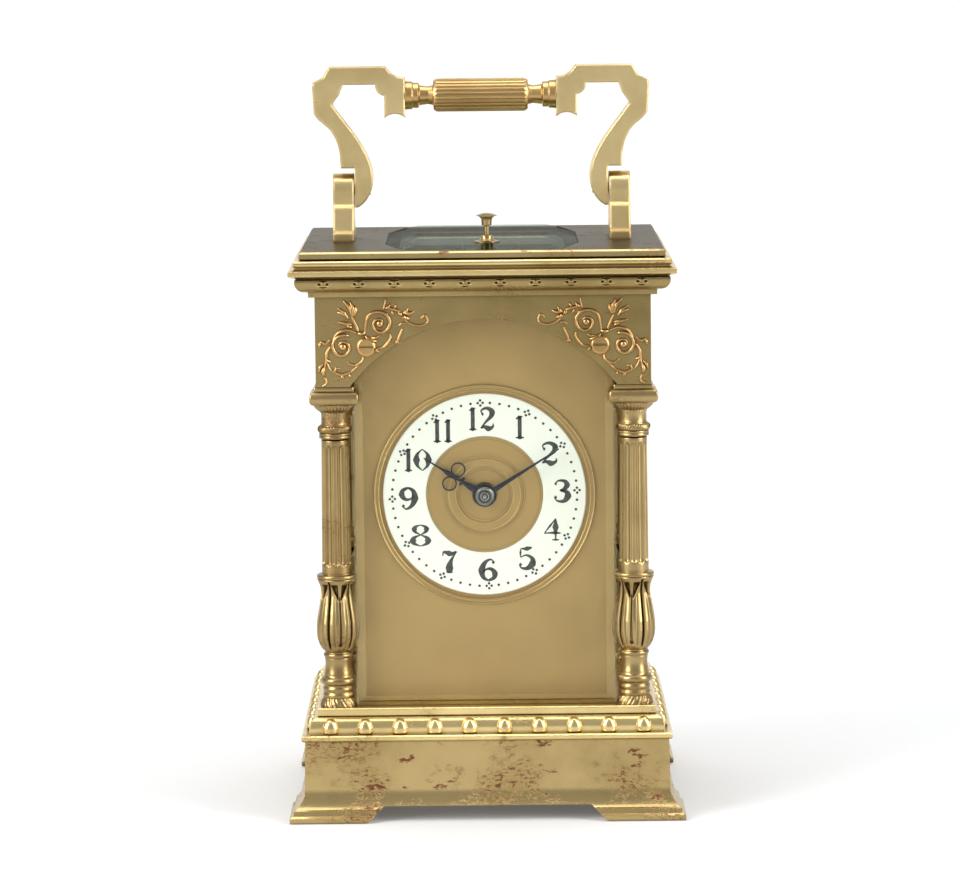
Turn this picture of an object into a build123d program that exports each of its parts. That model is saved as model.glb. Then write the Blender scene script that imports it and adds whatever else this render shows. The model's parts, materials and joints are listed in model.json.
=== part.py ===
from build123d import *
from math import acos, atan2, cos, degrees, hypot, radians, sin
import os

# A brass repeating carriage clock with corner columns, glazed on all sides, with a folding
# handle, a repeat button on top and a hinged back door. Millimetres, +Z up, dial towards -Y.
# The origin is at the middle of the clock's footprint, on the surface it stands on.

# ---------------------------------------------------------------- driving dimensions
plinth_half_w, plinth_half_d = 46.5, 40.4      # upper face of the plinth, from the centre
plinth_flare = 4.1                             # how far the foot of the plinth stands out
plinth_h = 20.4
plinth_wall = 3.0
foot_cut_h = 3.8                               # height of the openings between the feet
front_foot_w, side_foot_w = 20.0, 18.0         # widths of the feet at the ground
base_plate_t, base_plate_out = 1.6, 0.9
moulding_h, moulding_in = 4.2, 1.0
sill_h, sill_in = 2.2, 3.2
column_x, column_y = 38.0, 31.8                # column axes from the centre
column_h = 82.7                                # foot to top of the abacus
shaft_r, shaft_top_r = 3.85, 3.5
cup_r = 5.7                                    # widest part of the leaf cup
abacus_half, abacus_h = 6.2, 3.4
upper_plate_h, upper_plate_t = 23.0, 1.9
upper_half_w, upper_half_d = 42.5, 37.0        # outer faces of the arched upper plates
arch_half_w, arch_rise = 33.9, 17.1
frieze_h = 5.2
cornice_h, cornice_out = 4.2, 6.4
top_plate_t, top_plate_out = 2.2, 3.7
top_glass_half_w, top_glass_half_d = 24.7, 37.0
top_glass_t, glass_rebate = 2.1, 1.2
pane_t = 2.0                                   # front, side and door glasses
dial_drop = 29.1                               # the dial's centre, below the tops of the columns
dial_ring_r, dial_ring_in = 26.05, 15.0
handle_pivot_h, grip_h = 12.8, 24.5            # pivots above the roof, and grip above the pivots
grip_r, grip_len = 4.3, 24.0
arm_t = 7.0                                    # thickness of the handle arms, front to back
stalk_in, stalk_w, stalk_foot_d = 33.2, 5.4, 17.5
button_x, button_y, button_travel = 1.2, -25.4, 2.0
frame_plate_gap = 28.0                         # between the movement's two plates
frame_plate_t, frame_half_w = 2.0, 28.5
arbor_r = 0.9
fit = 0.05                                     # running fit of an arbor in its hole, on radius
gap = 0.3                                      # clear space between pieces that move apart

# ---------------------------------------------------------------- levels worked out from them
base_plate_z = plinth_h
moulding_z = base_plate_z + base_plate_t
sill_z = moulding_z + moulding_h
column_z = sill_z + sill_h
upper_z = column_z + column_h
dial_z = upper_z - dial_drop
frieze_z = upper_z + upper_plate_h
cornice_z = frieze_z + frieze_h
top_plate_z = cornice_z + cornice_h
roof_z = top_plate_z + top_plate_t
handle_pivot_z = roof_z + handle_pivot_h
grip_z = handle_pivot_z + grip_h
pane_half_w = column_x - 4.3                   # panes stop at the flats on the columns
pane_half_d = column_y - 4.3
pane_front_y = -upper_half_d + upper_plate_t   # outer face of the front pane
dial_face_y = pane_front_y + pane_t + 5.1
frame_front_y = -12.0                          # back face of the movement's front plate
frame_back_y = frame_front_y + frame_plate_gap
frame_bottom_z, frame_top_z = column_z, dial_z + 38.0

os.makedirs("parts", exist_ok=True)


def save(piece, name):
    """Labels a finished piece and writes it."""
    piece.part.label = name
    export_step(piece.part, f"parts/{name}.step")


def half_section(half, side, steps):
    """Draws one side of a moulding's section: (out, z) is a line, four numbers are an arc."""
    here = (side * (half + steps[0][0]), steps[0][1])
    for step in steps[1:]:
        there = (side * (half + step[-2]), step[-1])
        if len(step) == 4:
            ThreePointArc(here, (side * (half + step[0]), step[1]), there)
        else:
            Line(here, there)
        here = there


def moulding_face(half, steps):
    """A symmetrical moulding section across the clock, as a face in the open sketch."""
    with BuildLine() as outline:
        half_section(half, 1, steps)
        half_section(half, -1, steps)
        for step in (steps[0], steps[-1]):
            Line((-half - step[-2], step[-1]), (half + step[-2], step[-1]))
    make_face(outline.edges())


def moulded_block(half_w, half_d, steps):
    """A rectangular block with the same moulding on all four sides, mitred at the corners."""
    reach = 2 * (half_w + half_d)
    with BuildSketch(Plane.XZ) as front:
        moulding_face(half_w, steps)
    extrude(front.sketch, amount=reach, both=True)
    with BuildSketch(Plane.YZ) as flank:
        moulding_face(half_d, steps)
    extrude(flank.sketch, amount=reach, both=True, mode=Mode.INTERSECT)


def well(half_w, half_d, z_low, z_high):
    """Cuts a square-cornered well right through the block being made."""
    with BuildSketch(Plane.XY.offset(z_low)) as opening:
        Rectangle(2 * half_w, 2 * half_d)
    extrude(opening.sketch, amount=z_high - z_low, mode=Mode.SUBTRACT)


def dome_middle(radius, rise):
    """The half-way point of a spherical cap's section, as (radius, rise above the cap's rim)."""
    ball = (radius**2 + rise**2) / (2 * rise)
    return radius / 2, rise - ball + (ball**2 - radius**2 / 4) ** 0.5


def bores(radius, places, z_low, z_high):
    """Cuts upright holes at the given places."""
    with BuildSketch(Plane.XY.offset(z_low)) as holes:
        with Locations(*places):
            Circle(radius)
    extrude(holes.sketch, amount=z_high - z_low, mode=Mode.SUBTRACT)


door_t = 2.2
hinge_x, hinge_y = 1.3 - pane_half_w, upper_half_d - upper_plate_t / 2
door_y = hinge_y - door_t / 2                  # inner face of the door
pin_r, pin_len = 0.5, 3.0                      # hinge pins, and how far they reach past the door
corners = [(sx * column_x, sy * column_y) for sx in (1, -1) for sy in (1, -1)]
rod_r = 1.0
rod_hole_r = rod_r + fit

# ---------------------------------------------------------------- base of the case
with BuildPart() as plinth:
    flare_z = 0.42 * plinth_h
    moulded_block(plinth_half_w, plinth_half_d, [
        (plinth_flare, 0.0), (plinth_flare, 1.2), (plinth_flare - 0.8, 1.7),
        (plinth_flare - 1.0, 2.9), (plinth_flare - 1.6, 3.2),
        (0.9, 0.62 * flare_z, 0.25, flare_z), (0.0, plinth_h)])
    well(plinth_half_w - plinth_wall, plinth_half_d - plinth_wall, 0, plinth_h - 2.4)
    well(plinth_half_w - 9, plinth_half_d - 9, 0, plinth_h + 1)
    for plane, half, foot in ((Plane.XZ, plinth_half_w + plinth_flare, front_foot_w),
                              (Plane.YZ, plinth_half_d + plinth_flare, side_foot_w)):
        opening = half - foot
        with BuildSketch(plane):
            with BuildLine():
                Polyline((-opening, -1), (-opening, 0), (-opening + 4, foot_cut_h),
                         (opening - 4, foot_cut_h), (opening, 0), (opening, -1), close=True)
            make_face()
        extrude(amount=3 * plinth_half_w, both=True, mode=Mode.SUBTRACT)
    bores(rod_hole_r, corners, 0, plinth_h + 1)
save(plinth, "plinth")

dome_pitch = 8.9
dome_r = 2.1
front_domes = [(i - 4.5) * dome_pitch for i in range(10)]
side_domes = [(i - 3.5) * dome_pitch for i in range(8)]
with BuildPart() as base_moulding:
    lip = base_plate_out + moulding_in
    moulded_block(plinth_half_w - moulding_in, plinth_half_d - moulding_in, [
        (lip - 0.4, base_plate_z), (lip, base_plate_z + 0.4), (lip, moulding_z - 0.4), (lip - 0.4, moulding_z),
        (0.0, moulding_z), (0.0, moulding_z + 1.4), (-0.5, moulding_z + 3.0, -2.0, sill_z)])
    dome_z = moulding_z + 2.2
    dome_spots = [(x, s * (plinth_half_d - moulding_in - 0.9), dome_z) for x in front_domes for s in (1, -1)]
    dome_spots += [(s * (plinth_half_w - moulding_in - 0.9), y, dome_z) for y in side_domes for s in (1, -1)]
    with Locations(*dome_spots):
        Sphere(dome_r * 0.8)
    bores(rod_hole_r, corners, base_plate_z, sill_z)
save(base_moulding, "base_moulding")

with BuildPart() as sill_plate:
    moulded_block(plinth_half_w - sill_in, plinth_half_d - sill_in, [
        (-0.3, sill_z), (0.0, sill_z + 0.3), (0.0, column_z - 0.3), (-0.3, column_z)])
    bores(rod_hole_r, corners, sill_z, column_z)
    bores(pin_r + fit, [(hinge_x, hinge_y)], sill_z, column_z)
save(sill_plate, "sill_plate")

# ---------------------------------------------------------------- corner columns
cup_z = column_z + 14.2                        # foot of the leaf cup
shaft_z = column_z + 34.2
neck_z = upper_z - abacus_h - 6.6
flute_n = 16


def column(side_x, side_y, name):
    """One corner column: turned base, leaf cup, fluted shaft, gadrooned ring and abacus."""
    with BuildPart() as post:
        with BuildSketch(Plane.XZ):
            with BuildLine():
                Polyline((0, column_z), (4.8, column_z), (4.8, column_z + 0.6))
                ThreePointArc((4.8, column_z + 0.6), (4.4, column_z + 1.6), (4.0, column_z + 2.0))
                Polyline((4.0, column_z + 2.0), (4.0, column_z + 5.9), (4.3, column_z + 6.1))
                ThreePointArc((4.3, column_z + 6.1), (4.6, column_z + 6.8), (4.3, column_z + 7.5))
                Polyline((4.3, column_z + 7.5), (3.9, column_z + 7.7), (3.9, column_z + 8.6),
                         (3.4, column_z + 12.6), (3.5, cup_z))
                Spline((3.5, cup_z), (cup_r, cup_z + 4.9), (4.7, cup_z + 15.2), (5.1, shaft_z - 0.6))
                Polyline((5.1, shaft_z - 0.6), (shaft_r, shaft_z), (shaft_top_r, neck_z),
                         (3.8, neck_z + 0.2), (3.8, neck_z + 1.4), (4.1, neck_z + 1.6))
                ThreePointArc((4.1, neck_z + 1.6), (4.5, neck_z + 2.3), (4.1, neck_z + 3.0))
                Polyline((4.1, neck_z + 3.0), (3.5, neck_z + 3.2), (3.5, neck_z + 5.2))
                ThreePointArc((3.5, neck_z + 5.2), (4.7, neck_z + 5.5), (5.5, neck_z + 6.6))
                Polyline((5.5, neck_z + 6.6), (0, neck_z + 6.6), (0, column_z))
            make_face()
        revolve(axis=Axis.Z)
        with BuildSketch(Plane.XY.offset(shaft_z + 2.0)):
            with PolarLocations(shaft_r + 0.2, flute_n):
                Circle(0.55)
        extrude(amount=neck_z - shaft_z - 4.2, mode=Mode.SUBTRACT)
        with BuildSketch(Plane.XY.offset(neck_z + 6.6)):
            Rectangle(2 * abacus_half, 2 * abacus_half)
        extrude(amount=upper_z - neck_z - 6.6)
        # flats that let the panes and the door pass: towards the middle, and towards the other face
        lip = 0 if side_y > 0 else abacus_half
        inner_x, inner_y = -side_x * (column_x - pane_half_w), -side_y * (column_y - pane_half_d)
        with BuildSketch(Plane.XY.offset(column_z)):
            with Locations((inner_x - side_x * 10, 0), (0, inner_y - side_y * 10)):
                Rectangle(20, 20)
        extrude(amount=neck_z + 6.6 - column_z, mode=Mode.SUBTRACT)
        with BuildSketch(Plane.XY.offset(neck_z + 6.6)):
            with Locations((inner_x - side_x * 10, -side_y * (3.1 if lip else -10) )):
                Rectangle(20, 2 * abacus_half if lip else 40)
            with Locations((-side_x * 3.1, inner_y - side_y * 10)):
                Rectangle(2 * abacus_half, 20)
        extrude(amount=upper_z - neck_z - 6.6, mode=Mode.SUBTRACT)
        with BuildSketch(Plane.XY.offset(column_z)):
            Circle(rod_hole_r)
        extrude(amount=column_h, mode=Mode.SUBTRACT)
    with BuildPart() as placed:
        add(post.part.moved(Location((side_x * column_x, side_y * column_y, 0))))
    save(placed, name)


for side_x, hand in ((-1, "left"), (1, "right")):
    column(side_x, -1, f"column_front_{hand}")
    column(side_x, 1, f"column_rear_{hand}")

nut_h = 1.6
with BuildPart() as tie_rods:
    with BuildSketch(Plane.XY.offset(plinth_h - 2.4)):
        with Locations(*corners):
            Circle(rod_r)
    extrude(amount=cornice_z + 3.0 - (plinth_h - 2.4))
    with BuildSketch(Plane.XY.offset(plinth_h - 2.4)):
        with Locations(*corners):
            RegularPolygon(2.1, 6)
    extrude(amount=-nut_h)
save(tie_rods, "tie_rods")

# ---------------------------------------------------------------- arched upper plates
def arch_plate(plane, half, opening, rise):
    """An upper plate whose lower edge is a segmental arch. The plane's origin is its outer face."""
    with BuildSketch(plane) as face:
        with BuildLine() as outline:
            Polyline((-opening, upper_z), (-half, upper_z), (-half, frieze_z), (half, frieze_z),
                     (half, upper_z), (opening, upper_z))
            ThreePointArc((opening, upper_z), (0, upper_z + rise), (-opening, upper_z))
        make_face(outline.edges())
    extrude(face.sketch, amount=-upper_plate_t)


side_opening = pane_half_d - 0.5
side_rise = arch_rise * side_opening / arch_half_w
with BuildPart() as front_arch_plate:
    arch_plate(Plane.XZ.offset(upper_half_d), upper_half_w, arch_half_w, arch_rise)
save(front_arch_plate, "front_arch_plate")

with BuildPart() as rear_arch_plate:
    arch_plate(Plane.XZ.offset(-upper_half_d + upper_plate_t), upper_half_w, 1.0, 0.6)
    bores(pin_r + fit, [(hinge_x, hinge_y)], upper_z, upper_z + pin_len + 0.2)
save(rear_arch_plate, "rear_arch_plate")

with BuildPart() as side_arch_plates:
    for outer_x in (-upper_half_w + upper_plate_t, upper_half_w):
        arch_plate(Plane.YZ.offset(outer_x), upper_half_d - upper_plate_t, side_opening, side_rise)
save(side_arch_plates, "side_arch_plates")

# ---------------------------------------------------------------- entablature and top
with BuildPart() as frieze_moulding:
    moulded_block(upper_half_w, upper_half_d, [
        (1.5, frieze_z), (1.6, frieze_z + 1.3), (2.8, frieze_z + 1.5),
        (4.5, frieze_z + 2.8, 4.8, cornice_z - 0.6), (3.4, cornice_z - 0.5), (3.4, cornice_z)])
    scoop_z = cornice_z - 1.6
    scoops = [(x, s * (upper_half_d + 5.4), scoop_z) for x in front_domes for s in (1, -1)]
    scoops += [(s * (upper_half_w + 5.4), y, scoop_z) for y in side_domes for s in (1, -1)]
    with Locations(*scoops):
        Sphere(1.5, mode=Mode.SUBTRACT)
    well(column_x - 10, column_y - 3.0, frieze_z, cornice_z)
    bores(rod_hole_r, corners, frieze_z, cornice_z)
save(frieze_moulding, "frieze_moulding")

with BuildPart() as cornice:
    moulded_block(upper_half_w, upper_half_d, [
        (cornice_out - 1.2, cornice_z), (cornice_out, cornice_z + 0.5), (cornice_out, cornice_z + 1.7),
        (cornice_out - 1.6, cornice_z + 2.2), (cornice_out - 1.8, cornice_z + 2.6),
        (cornice_out - 1.1, cornice_z + 3.3, cornice_out - 1.8, top_plate_z)])
    well(column_x - 10, column_y - 3.0, cornice_z, top_plate_z)
    bores(rod_hole_r, corners, cornice_z, cornice_z + 3.0)
save(cornice, "cornice")


def window_outline(inset):
    """The eight-sided outline of the roof window, drawn that far inside the glass's own edge."""
    half_w, half_d = top_glass_half_w - inset, top_glass_half_d - inset
    cut_w, cut_d = 4.4, 19.0
    with BuildLine() as outline:
        Polyline((half_w, cut_d - half_d), (half_w, half_d - cut_d), (half_w - cut_w, half_d),
                 (cut_w - half_w, half_d), (-half_w, half_d - cut_d), (-half_w, cut_d - half_d),
                 (cut_w - half_w, -half_d), (half_w - cut_w, -half_d), close=True)
    make_face(outline.edges())


stalk_places = [(s * (stalk_in + stalk_w / 2), 0) for s in (1, -1)]
stud_r = 1.2
with BuildPart() as top_plate:
    moulded_block(upper_half_w, upper_half_d, [
        (top_plate_out - 0.7, top_plate_z), (top_plate_out, top_plate_z + 0.5),
        (top_plate_out, roof_z - 0.5), (top_plate_out - 0.5, roof_z)])
    with BuildSketch(Plane.XY.offset(top_plate_z)):
        window_outline(3.4)
    extrude(amount=top_plate_t, mode=Mode.SUBTRACT)
    with BuildSketch(Plane.XY.offset(roof_z - glass_rebate)):
        window_outline(-0.1)
    extrude(amount=glass_rebate, mode=Mode.SUBTRACT)
    bores(stud_r + fit, stalk_places, top_plate_z, roof_z)
save(top_plate, "top_plate")

stem_r, collar_bore = 0.65, 0.72
collar_r = 1.5
glass_top_z = roof_z - glass_rebate + top_glass_t
with BuildPart() as top_glass:
    with BuildSketch(Plane.XY.offset(roof_z - glass_rebate)):
        window_outline(0)
    extrude(amount=top_glass_t)
    upper_edges = top_glass.faces().sort_by(Axis.Z)[-1].edges()
    chamfer(upper_edges, length=1.0, length2=4.0)
    with BuildSketch(Plane.XY.offset(roof_z - glass_rebate)):
        with Locations((button_x, button_y)):
            Circle(collar_r + fit)
    extrude(amount=top_glass_t, mode=Mode.SUBTRACT)
save(top_glass, "top_glass")

# ---------------------------------------------------------------- panes, door and its fittings
pane_bevel = 2.6


def arched_outline(half, low, spring, rise):
    """A pane's outline: square at the bottom and arched at the top."""
    with BuildLine() as outline:
        Polyline((-half, spring), (-half, low), (half, low), (half, spring))
        ThreePointArc((half, spring), (0, spring + rise), (-half, spring))
    make_face(outline.edges())


def pane(plane, half, rise):
    """A bevelled glass pane. The plane lies on its outer face, with its normal outwards."""
    with BuildPart() as glass:
        with BuildSketch(plane) as face:
            arched_outline(half, column_z, upper_z + 2.5, rise)
        extrude(face.sketch, amount=-pane_t)
        outer = glass.faces().filter_by(lambda f: abs((f.center() - plane.origin).dot(plane.z_dir)) < 0.01)
        chamfer(outer[0].edges(), length=0.8, length2=pane_bevel)
    return glass.part


with BuildPart() as front_glass:
    add(pane(Plane.XZ.offset(-pane_front_y), pane_half_w - 0.1, arch_rise))
save(front_glass, "front_glass")

with BuildPart() as side_glasses:
    for side in (-1, 1):
        face_at = (side * (upper_half_w - upper_plate_t), 0, 0)
        add(pane(Plane(origin=face_at, x_dir=(0, side, 0), z_dir=(side, 0, 0)), pane_half_d - 0.1, side_rise))
save(side_glasses, "side_glasses")

door_low, door_high = column_z + gap, upper_z - gap
door_half = pane_half_w - gap
door_bar = 4.2
with BuildPart() as door_frame:
    with BuildSketch(Plane.XY.offset(door_low)):
        with Locations((hinge_x, hinge_y)):
            Circle(door_t / 2)
        with Locations(((hinge_x + door_half) / 2, hinge_y)):
            Rectangle(door_half - hinge_x, door_t)
    extrude(amount=door_high - door_low)
    with BuildSketch(Plane.XZ.offset(-door_y)):
        with Locations((0, (door_low + door_high) / 2)):
            Rectangle(2 * (door_half - door_bar), door_high - door_low - 2 * door_bar)
    extrude(amount=-door_t, mode=Mode.SUBTRACT)
    with BuildSketch(Plane.XZ.offset(-door_y)):
        with Locations((0, (door_low + door_high) / 2)):
            Rectangle(2 * (door_half - door_bar + 1.4), door_high - door_low - 2 * door_bar + 2.8)
    extrude(amount=-1.5, mode=Mode.SUBTRACT)
    with BuildSketch(Plane.XY.offset(door_low)):
        with Locations((hinge_x, hinge_y)):
            Circle(pin_r + fit)
    extrude(amount=door_high - door_low, mode=Mode.SUBTRACT)
    knob_x, knob_z = door_half - door_bar / 2, dial_z - 10
    with BuildSketch(Plane.XZ.offset(-door_y)):
        with Locations((knob_x, knob_z)):
            Circle(0.8 + fit)
    extrude(amount=-door_t, mode=Mode.SUBTRACT)
save(door_frame, "door_frame")

with BuildPart() as door_glass:
    with BuildSketch(Plane.XZ.offset(-door_y)):
        with Locations((0, (door_low + door_high) / 2)):
            Rectangle(2 * (door_half - door_bar + 1.3), door_high - door_low - 2 * door_bar + 2.6)
    extrude(amount=-1.4)
save(door_glass, "door_glass")

knob_r, knob_rim = 2.2, door_y + door_t + 2.4
with BuildPart() as door_knob:
    with BuildSketch(Plane.XY.offset(knob_z)):
        with BuildLine():
            Polyline((0, door_y), (0.8, door_y), (0.8, door_y + door_t), (2.0, door_y + door_t),
                     (1.1, door_y + door_t + 0.6), (1.1, door_y + door_t + 1.4), (knob_r, door_y + door_t + 2.0),
                     (knob_r, knob_rim))
            middle_x, middle_rise = dome_middle(knob_r, 1.2)
            ThreePointArc((knob_r, knob_rim), (middle_x, knob_rim + middle_rise), (0, knob_rim + 1.2))
            Line((0, knob_rim + 1.2), (0, door_y))
        make_face()
    revolve(axis=Axis((0, 0, knob_z), (0, 1, 0)))
door_knob.part.locate(Location((knob_x, 0, 0)))
save(door_knob, "door_knob")

with BuildPart() as door_hinge_pins:
    for low, up in ((sill_z + 0.2, door_low + 4), (door_high - 4, upper_z + pin_len)):
        with BuildSketch(Plane.XY.offset(low)):
            with Locations((hinge_x, hinge_y)):
                Circle(pin_r)
        extrude(amount=up - low)
save(door_hinge_pins, "door_hinge_pins")

# ---------------------------------------------------------------- dial and hands
mask_t = 1.4
mask_half_w = pane_half_w - 0.6
mask_bottom = column_z + 0.2
ring_groove = 1.0
dial_bore = 3.2
with BuildPart() as dial_mask:
    with BuildSketch(Plane.XZ.offset(-dial_face_y)):
        with BuildLine():
            Polyline((-mask_half_w, upper_z + 1), (-mask_half_w, mask_bottom),
                     (mask_half_w, mask_bottom), (mask_half_w, upper_z + 1))
            ThreePointArc((mask_half_w, upper_z + 1), (0, frieze_z - 2.0), (-mask_half_w, upper_z + 1))
        make_face()
        with Locations((0, dial_z)):
            Circle(dial_bore + 0.4, mode=Mode.SUBTRACT)
    extrude(amount=-mask_t)
    with BuildSketch(Plane.XZ.offset(-dial_face_y)):
        with Locations((0, dial_z)):
            Circle(dial_ring_r + ring_groove)
    extrude(amount=-0.6, mode=Mode.SUBTRACT)
    with BuildSketch(Plane.XZ.offset(-dial_face_y)):
        with Locations((0, dial_z)):
            Circle(dial_ring_r + ring_groove + 1.4)
            Circle(dial_ring_r + ring_groove, mode=Mode.SUBTRACT)
    extrude(amount=0.5)
save(dial_mask, "dial_mask")

with BuildPart() as chapter_ring:
    with BuildSketch(Plane.XZ.offset(-dial_face_y - 0.6)):
        with Locations((0, dial_z)):
            Circle(dial_ring_r)
            Circle(dial_ring_in, mode=Mode.SUBTRACT)
    extrude(amount=0.8)
    chamfer(chapter_ring.faces().sort_by(Axis.Y)[0].edges(), length=0.25)
save(chapter_ring, "chapter_ring")

with BuildPart() as dial_centre:
    with BuildSketch(Plane.XZ.offset(-dial_face_y - 0.6)):
        with Locations((0, dial_z)):
            Circle(dial_ring_in - 0.1)
            Circle(dial_bore, mode=Mode.SUBTRACT)
    extrude(amount=0.5)
    with BuildSketch(Plane.XZ.offset(-dial_face_y - 0.1)):
        with Locations((0, dial_z)):
            Circle(9.4)
            Circle(7.2, mode=Mode.SUBTRACT)
    extrude(amount=0.4)
save(dial_centre, "dial_centre")

hour_hand_y = dial_face_y - 1.3                # back faces of the hands
minute_hand_y = hour_hand_y - 1.1
hand_t = 0.5
hour_turn, minute_turn = 301.8, 58.3           # clockwise from twelve, seen from the front
hour_len, minute_len = 18.6, 22.7
hour_pipe_r, hour_bore = 2.0, 1.45
cannon_r = hour_bore - fit


def on_dial(turn, reach):
    """A place on the dial, clockwise from twelve, as (x, z)."""
    return (reach * sin(radians(turn)), dial_z + reach * cos(radians(turn)))


def hand_outline(turn, half_widths):
    """A hand pointing that way: (reach, half width) pairs from its boss to its tip."""
    across = turn + 90
    left = [(on_dial(turn, r)[0] - w * sin(radians(across)), on_dial(turn, r)[1] - w * cos(radians(across)))
            for r, w in half_widths]
    right = [(on_dial(turn, r)[0] + w * sin(radians(across)), on_dial(turn, r)[1] + w * cos(radians(across)))
             for r, w in half_widths]
    with BuildLine() as outline:
        Polyline(*left, *reversed(right), close=True)
    make_face(outline.edges())


with BuildPart() as hour_hand:
    with BuildSketch(Plane.XZ.offset(-hour_hand_y)):
        hand_outline(hour_turn, [(0, 0.9), (4.6, 0.9), (8.2, 0.45), (9.4, 0.9), (12.6, 0.3), (hour_len, 0.12)])
        for side in (-1, 1):
            loop_x, loop_z = on_dial(hour_turn + side * 13.5, 9.6)
            with Locations((loop_x, loop_z)):
                Circle(2.1)
                Circle(1.6, mode=Mode.SUBTRACT)
        with Locations((0, dial_z)):
            Circle(3.0)
            Circle(hour_bore, mode=Mode.SUBTRACT)
    extrude(amount=hand_t)
save(hour_hand, "hour_hand")

with BuildPart() as minute_hand:
    with BuildSketch(Plane.XZ.offset(-minute_hand_y)):
        hand_outline(minute_turn, [(0, 0.6), (6.0, 0.5), (12.0, 0.3), (minute_len, 0.12)])
        with Locations((0, dial_z)):
            Circle(2.2)
            Circle(arbor_r, mode=Mode.SUBTRACT)
    extrude(amount=hand_t)
save(minute_hand, "minute_hand")

collet_r, collet_y = 2.45, minute_hand_y - hand_t
with BuildPart() as hand_collet:
    with BuildSketch(Plane.XY.offset(dial_z)):
        with BuildLine():
            middle_x, middle_rise = dome_middle(collet_r, 0.9)
            Polyline((0, collet_y), (collet_r, collet_y), (collet_r, collet_y - 0.3))
            ThreePointArc((collet_r, collet_y - 0.3), (middle_x, collet_y - 0.3 - middle_rise), (0, collet_y - 1.2))
            Line((0, collet_y - 1.2), (0, collet_y))
        make_face()
    revolve(axis=Axis((0, 0, dial_z), (0, 1, 0)))
save(hand_collet, "hand_collet")

# ---------------------------------------------------------------- gilt mounts on the front plate
mount_t = 0.9
with BuildPart() as spandrel_mounts:
    for side in (-1, 1):
        with BuildSketch(Plane.XZ.offset(upper_half_d)):
            screw = (side * 29.6, upper_z + 10.4)
            for x, z, radius in ((36.0, 10.3, 5.2), (26.0, 16.2, 5.0)):
                with Locations((side * x, upper_z + z)):
                    Circle(radius)
                    Circle(radius - 1.0, mode=Mode.SUBTRACT)
            with Locations(screw):
                Circle(2.6)
            with BuildLine():
                Polyline((side * 41.0, upper_z + 1.0), (side * 41.8, upper_z + 3.0), (side * 40.4, upper_z + 9.5),
                         (side * 39.6, upper_z + 9.5), (side * 40.6, upper_z + 3.0), close=True)
            make_face()
            with BuildLine():
                Polyline((side * 33.4, upper_z + 21.8), (side * 36.6, upper_z + 21.8), (side * 31.4, upper_z + 12.0),
                         (side * 30.2, upper_z + 12.0), close=True)
            make_face()
            with BuildLine():
                Polyline((side * 15.0, upper_z + 17.6), (side * 15.4, upper_z + 16.6), (side * 22.0, upper_z + 17.6),
                         (side * 22.0, upper_z + 18.8), close=True)
            make_face()
        extrude(amount=mount_t)
save(spandrel_mounts, "spandrel_mounts")

with BuildPart() as spandrel_screws:
    with BuildSketch(Plane.XZ.offset(upper_half_d + mount_t)):
        with Locations(*[(s * 29.6, upper_z + 10.4) for s in (-1, 1)]):
            Circle(1.9)
            Rectangle(4.0, 0.5, mode=Mode.SUBTRACT)
    extrude(amount=0.6)
    with BuildSketch(Plane.XZ.offset(upper_half_d + mount_t)):
        with Locations(*[(s * 29.6, upper_z + 10.4) for s in (-1, 1)]):
            Circle(1.9)
    extrude(amount=0.25)
save(spandrel_screws, "spandrel_screws")

# ---------------------------------------------------------------- handle
pivot_r = 1.3
head_r = 4.4                                   # round head of a stalk, about the pivot
for side, hand in ((-1, "left"), (1, "right")):
    with BuildPart() as stalk:
        start = side * stalk_in
        with BuildSketch(Plane.YZ.offset(start)):
            with Locations((0, handle_pivot_z)):
                Circle(head_r)
            with BuildLine():
                Polyline((-head_r, handle_pivot_z), (-head_r, handle_pivot_z - 3.4), (-5.4, handle_pivot_z - 4.2),
                         (-stalk_foot_d / 2 + 1.2, roof_z + 3.0), (-stalk_foot_d / 2 + 1.2, roof_z + 2.6),
                         (-stalk_foot_d / 2, roof_z + 2.2), (-stalk_foot_d / 2, roof_z),
                         (stalk_foot_d / 2, roof_z), (stalk_foot_d / 2, roof_z + 2.2),
                         (stalk_foot_d / 2 - 1.2, roof_z + 2.6), (stalk_foot_d / 2 - 1.2, roof_z + 3.0),
                         (5.4, handle_pivot_z - 4.2), (head_r, handle_pivot_z - 3.4),
                         (head_r, handle_pivot_z), close=True)
            make_face()
            with Locations((0, handle_pivot_z)):
                Circle(pivot_r + fit, mode=Mode.SUBTRACT)
        extrude(amount=side * stalk_w)
        with BuildSketch(Plane.XY.offset(roof_z - top_plate_t)):
            with Locations((side * (stalk_in + stalk_w / 2), 0)):
                Circle(stud_r)
        extrude(amount=top_plate_t)
    save(stalk, f"handle_stalk_{hand}")

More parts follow.
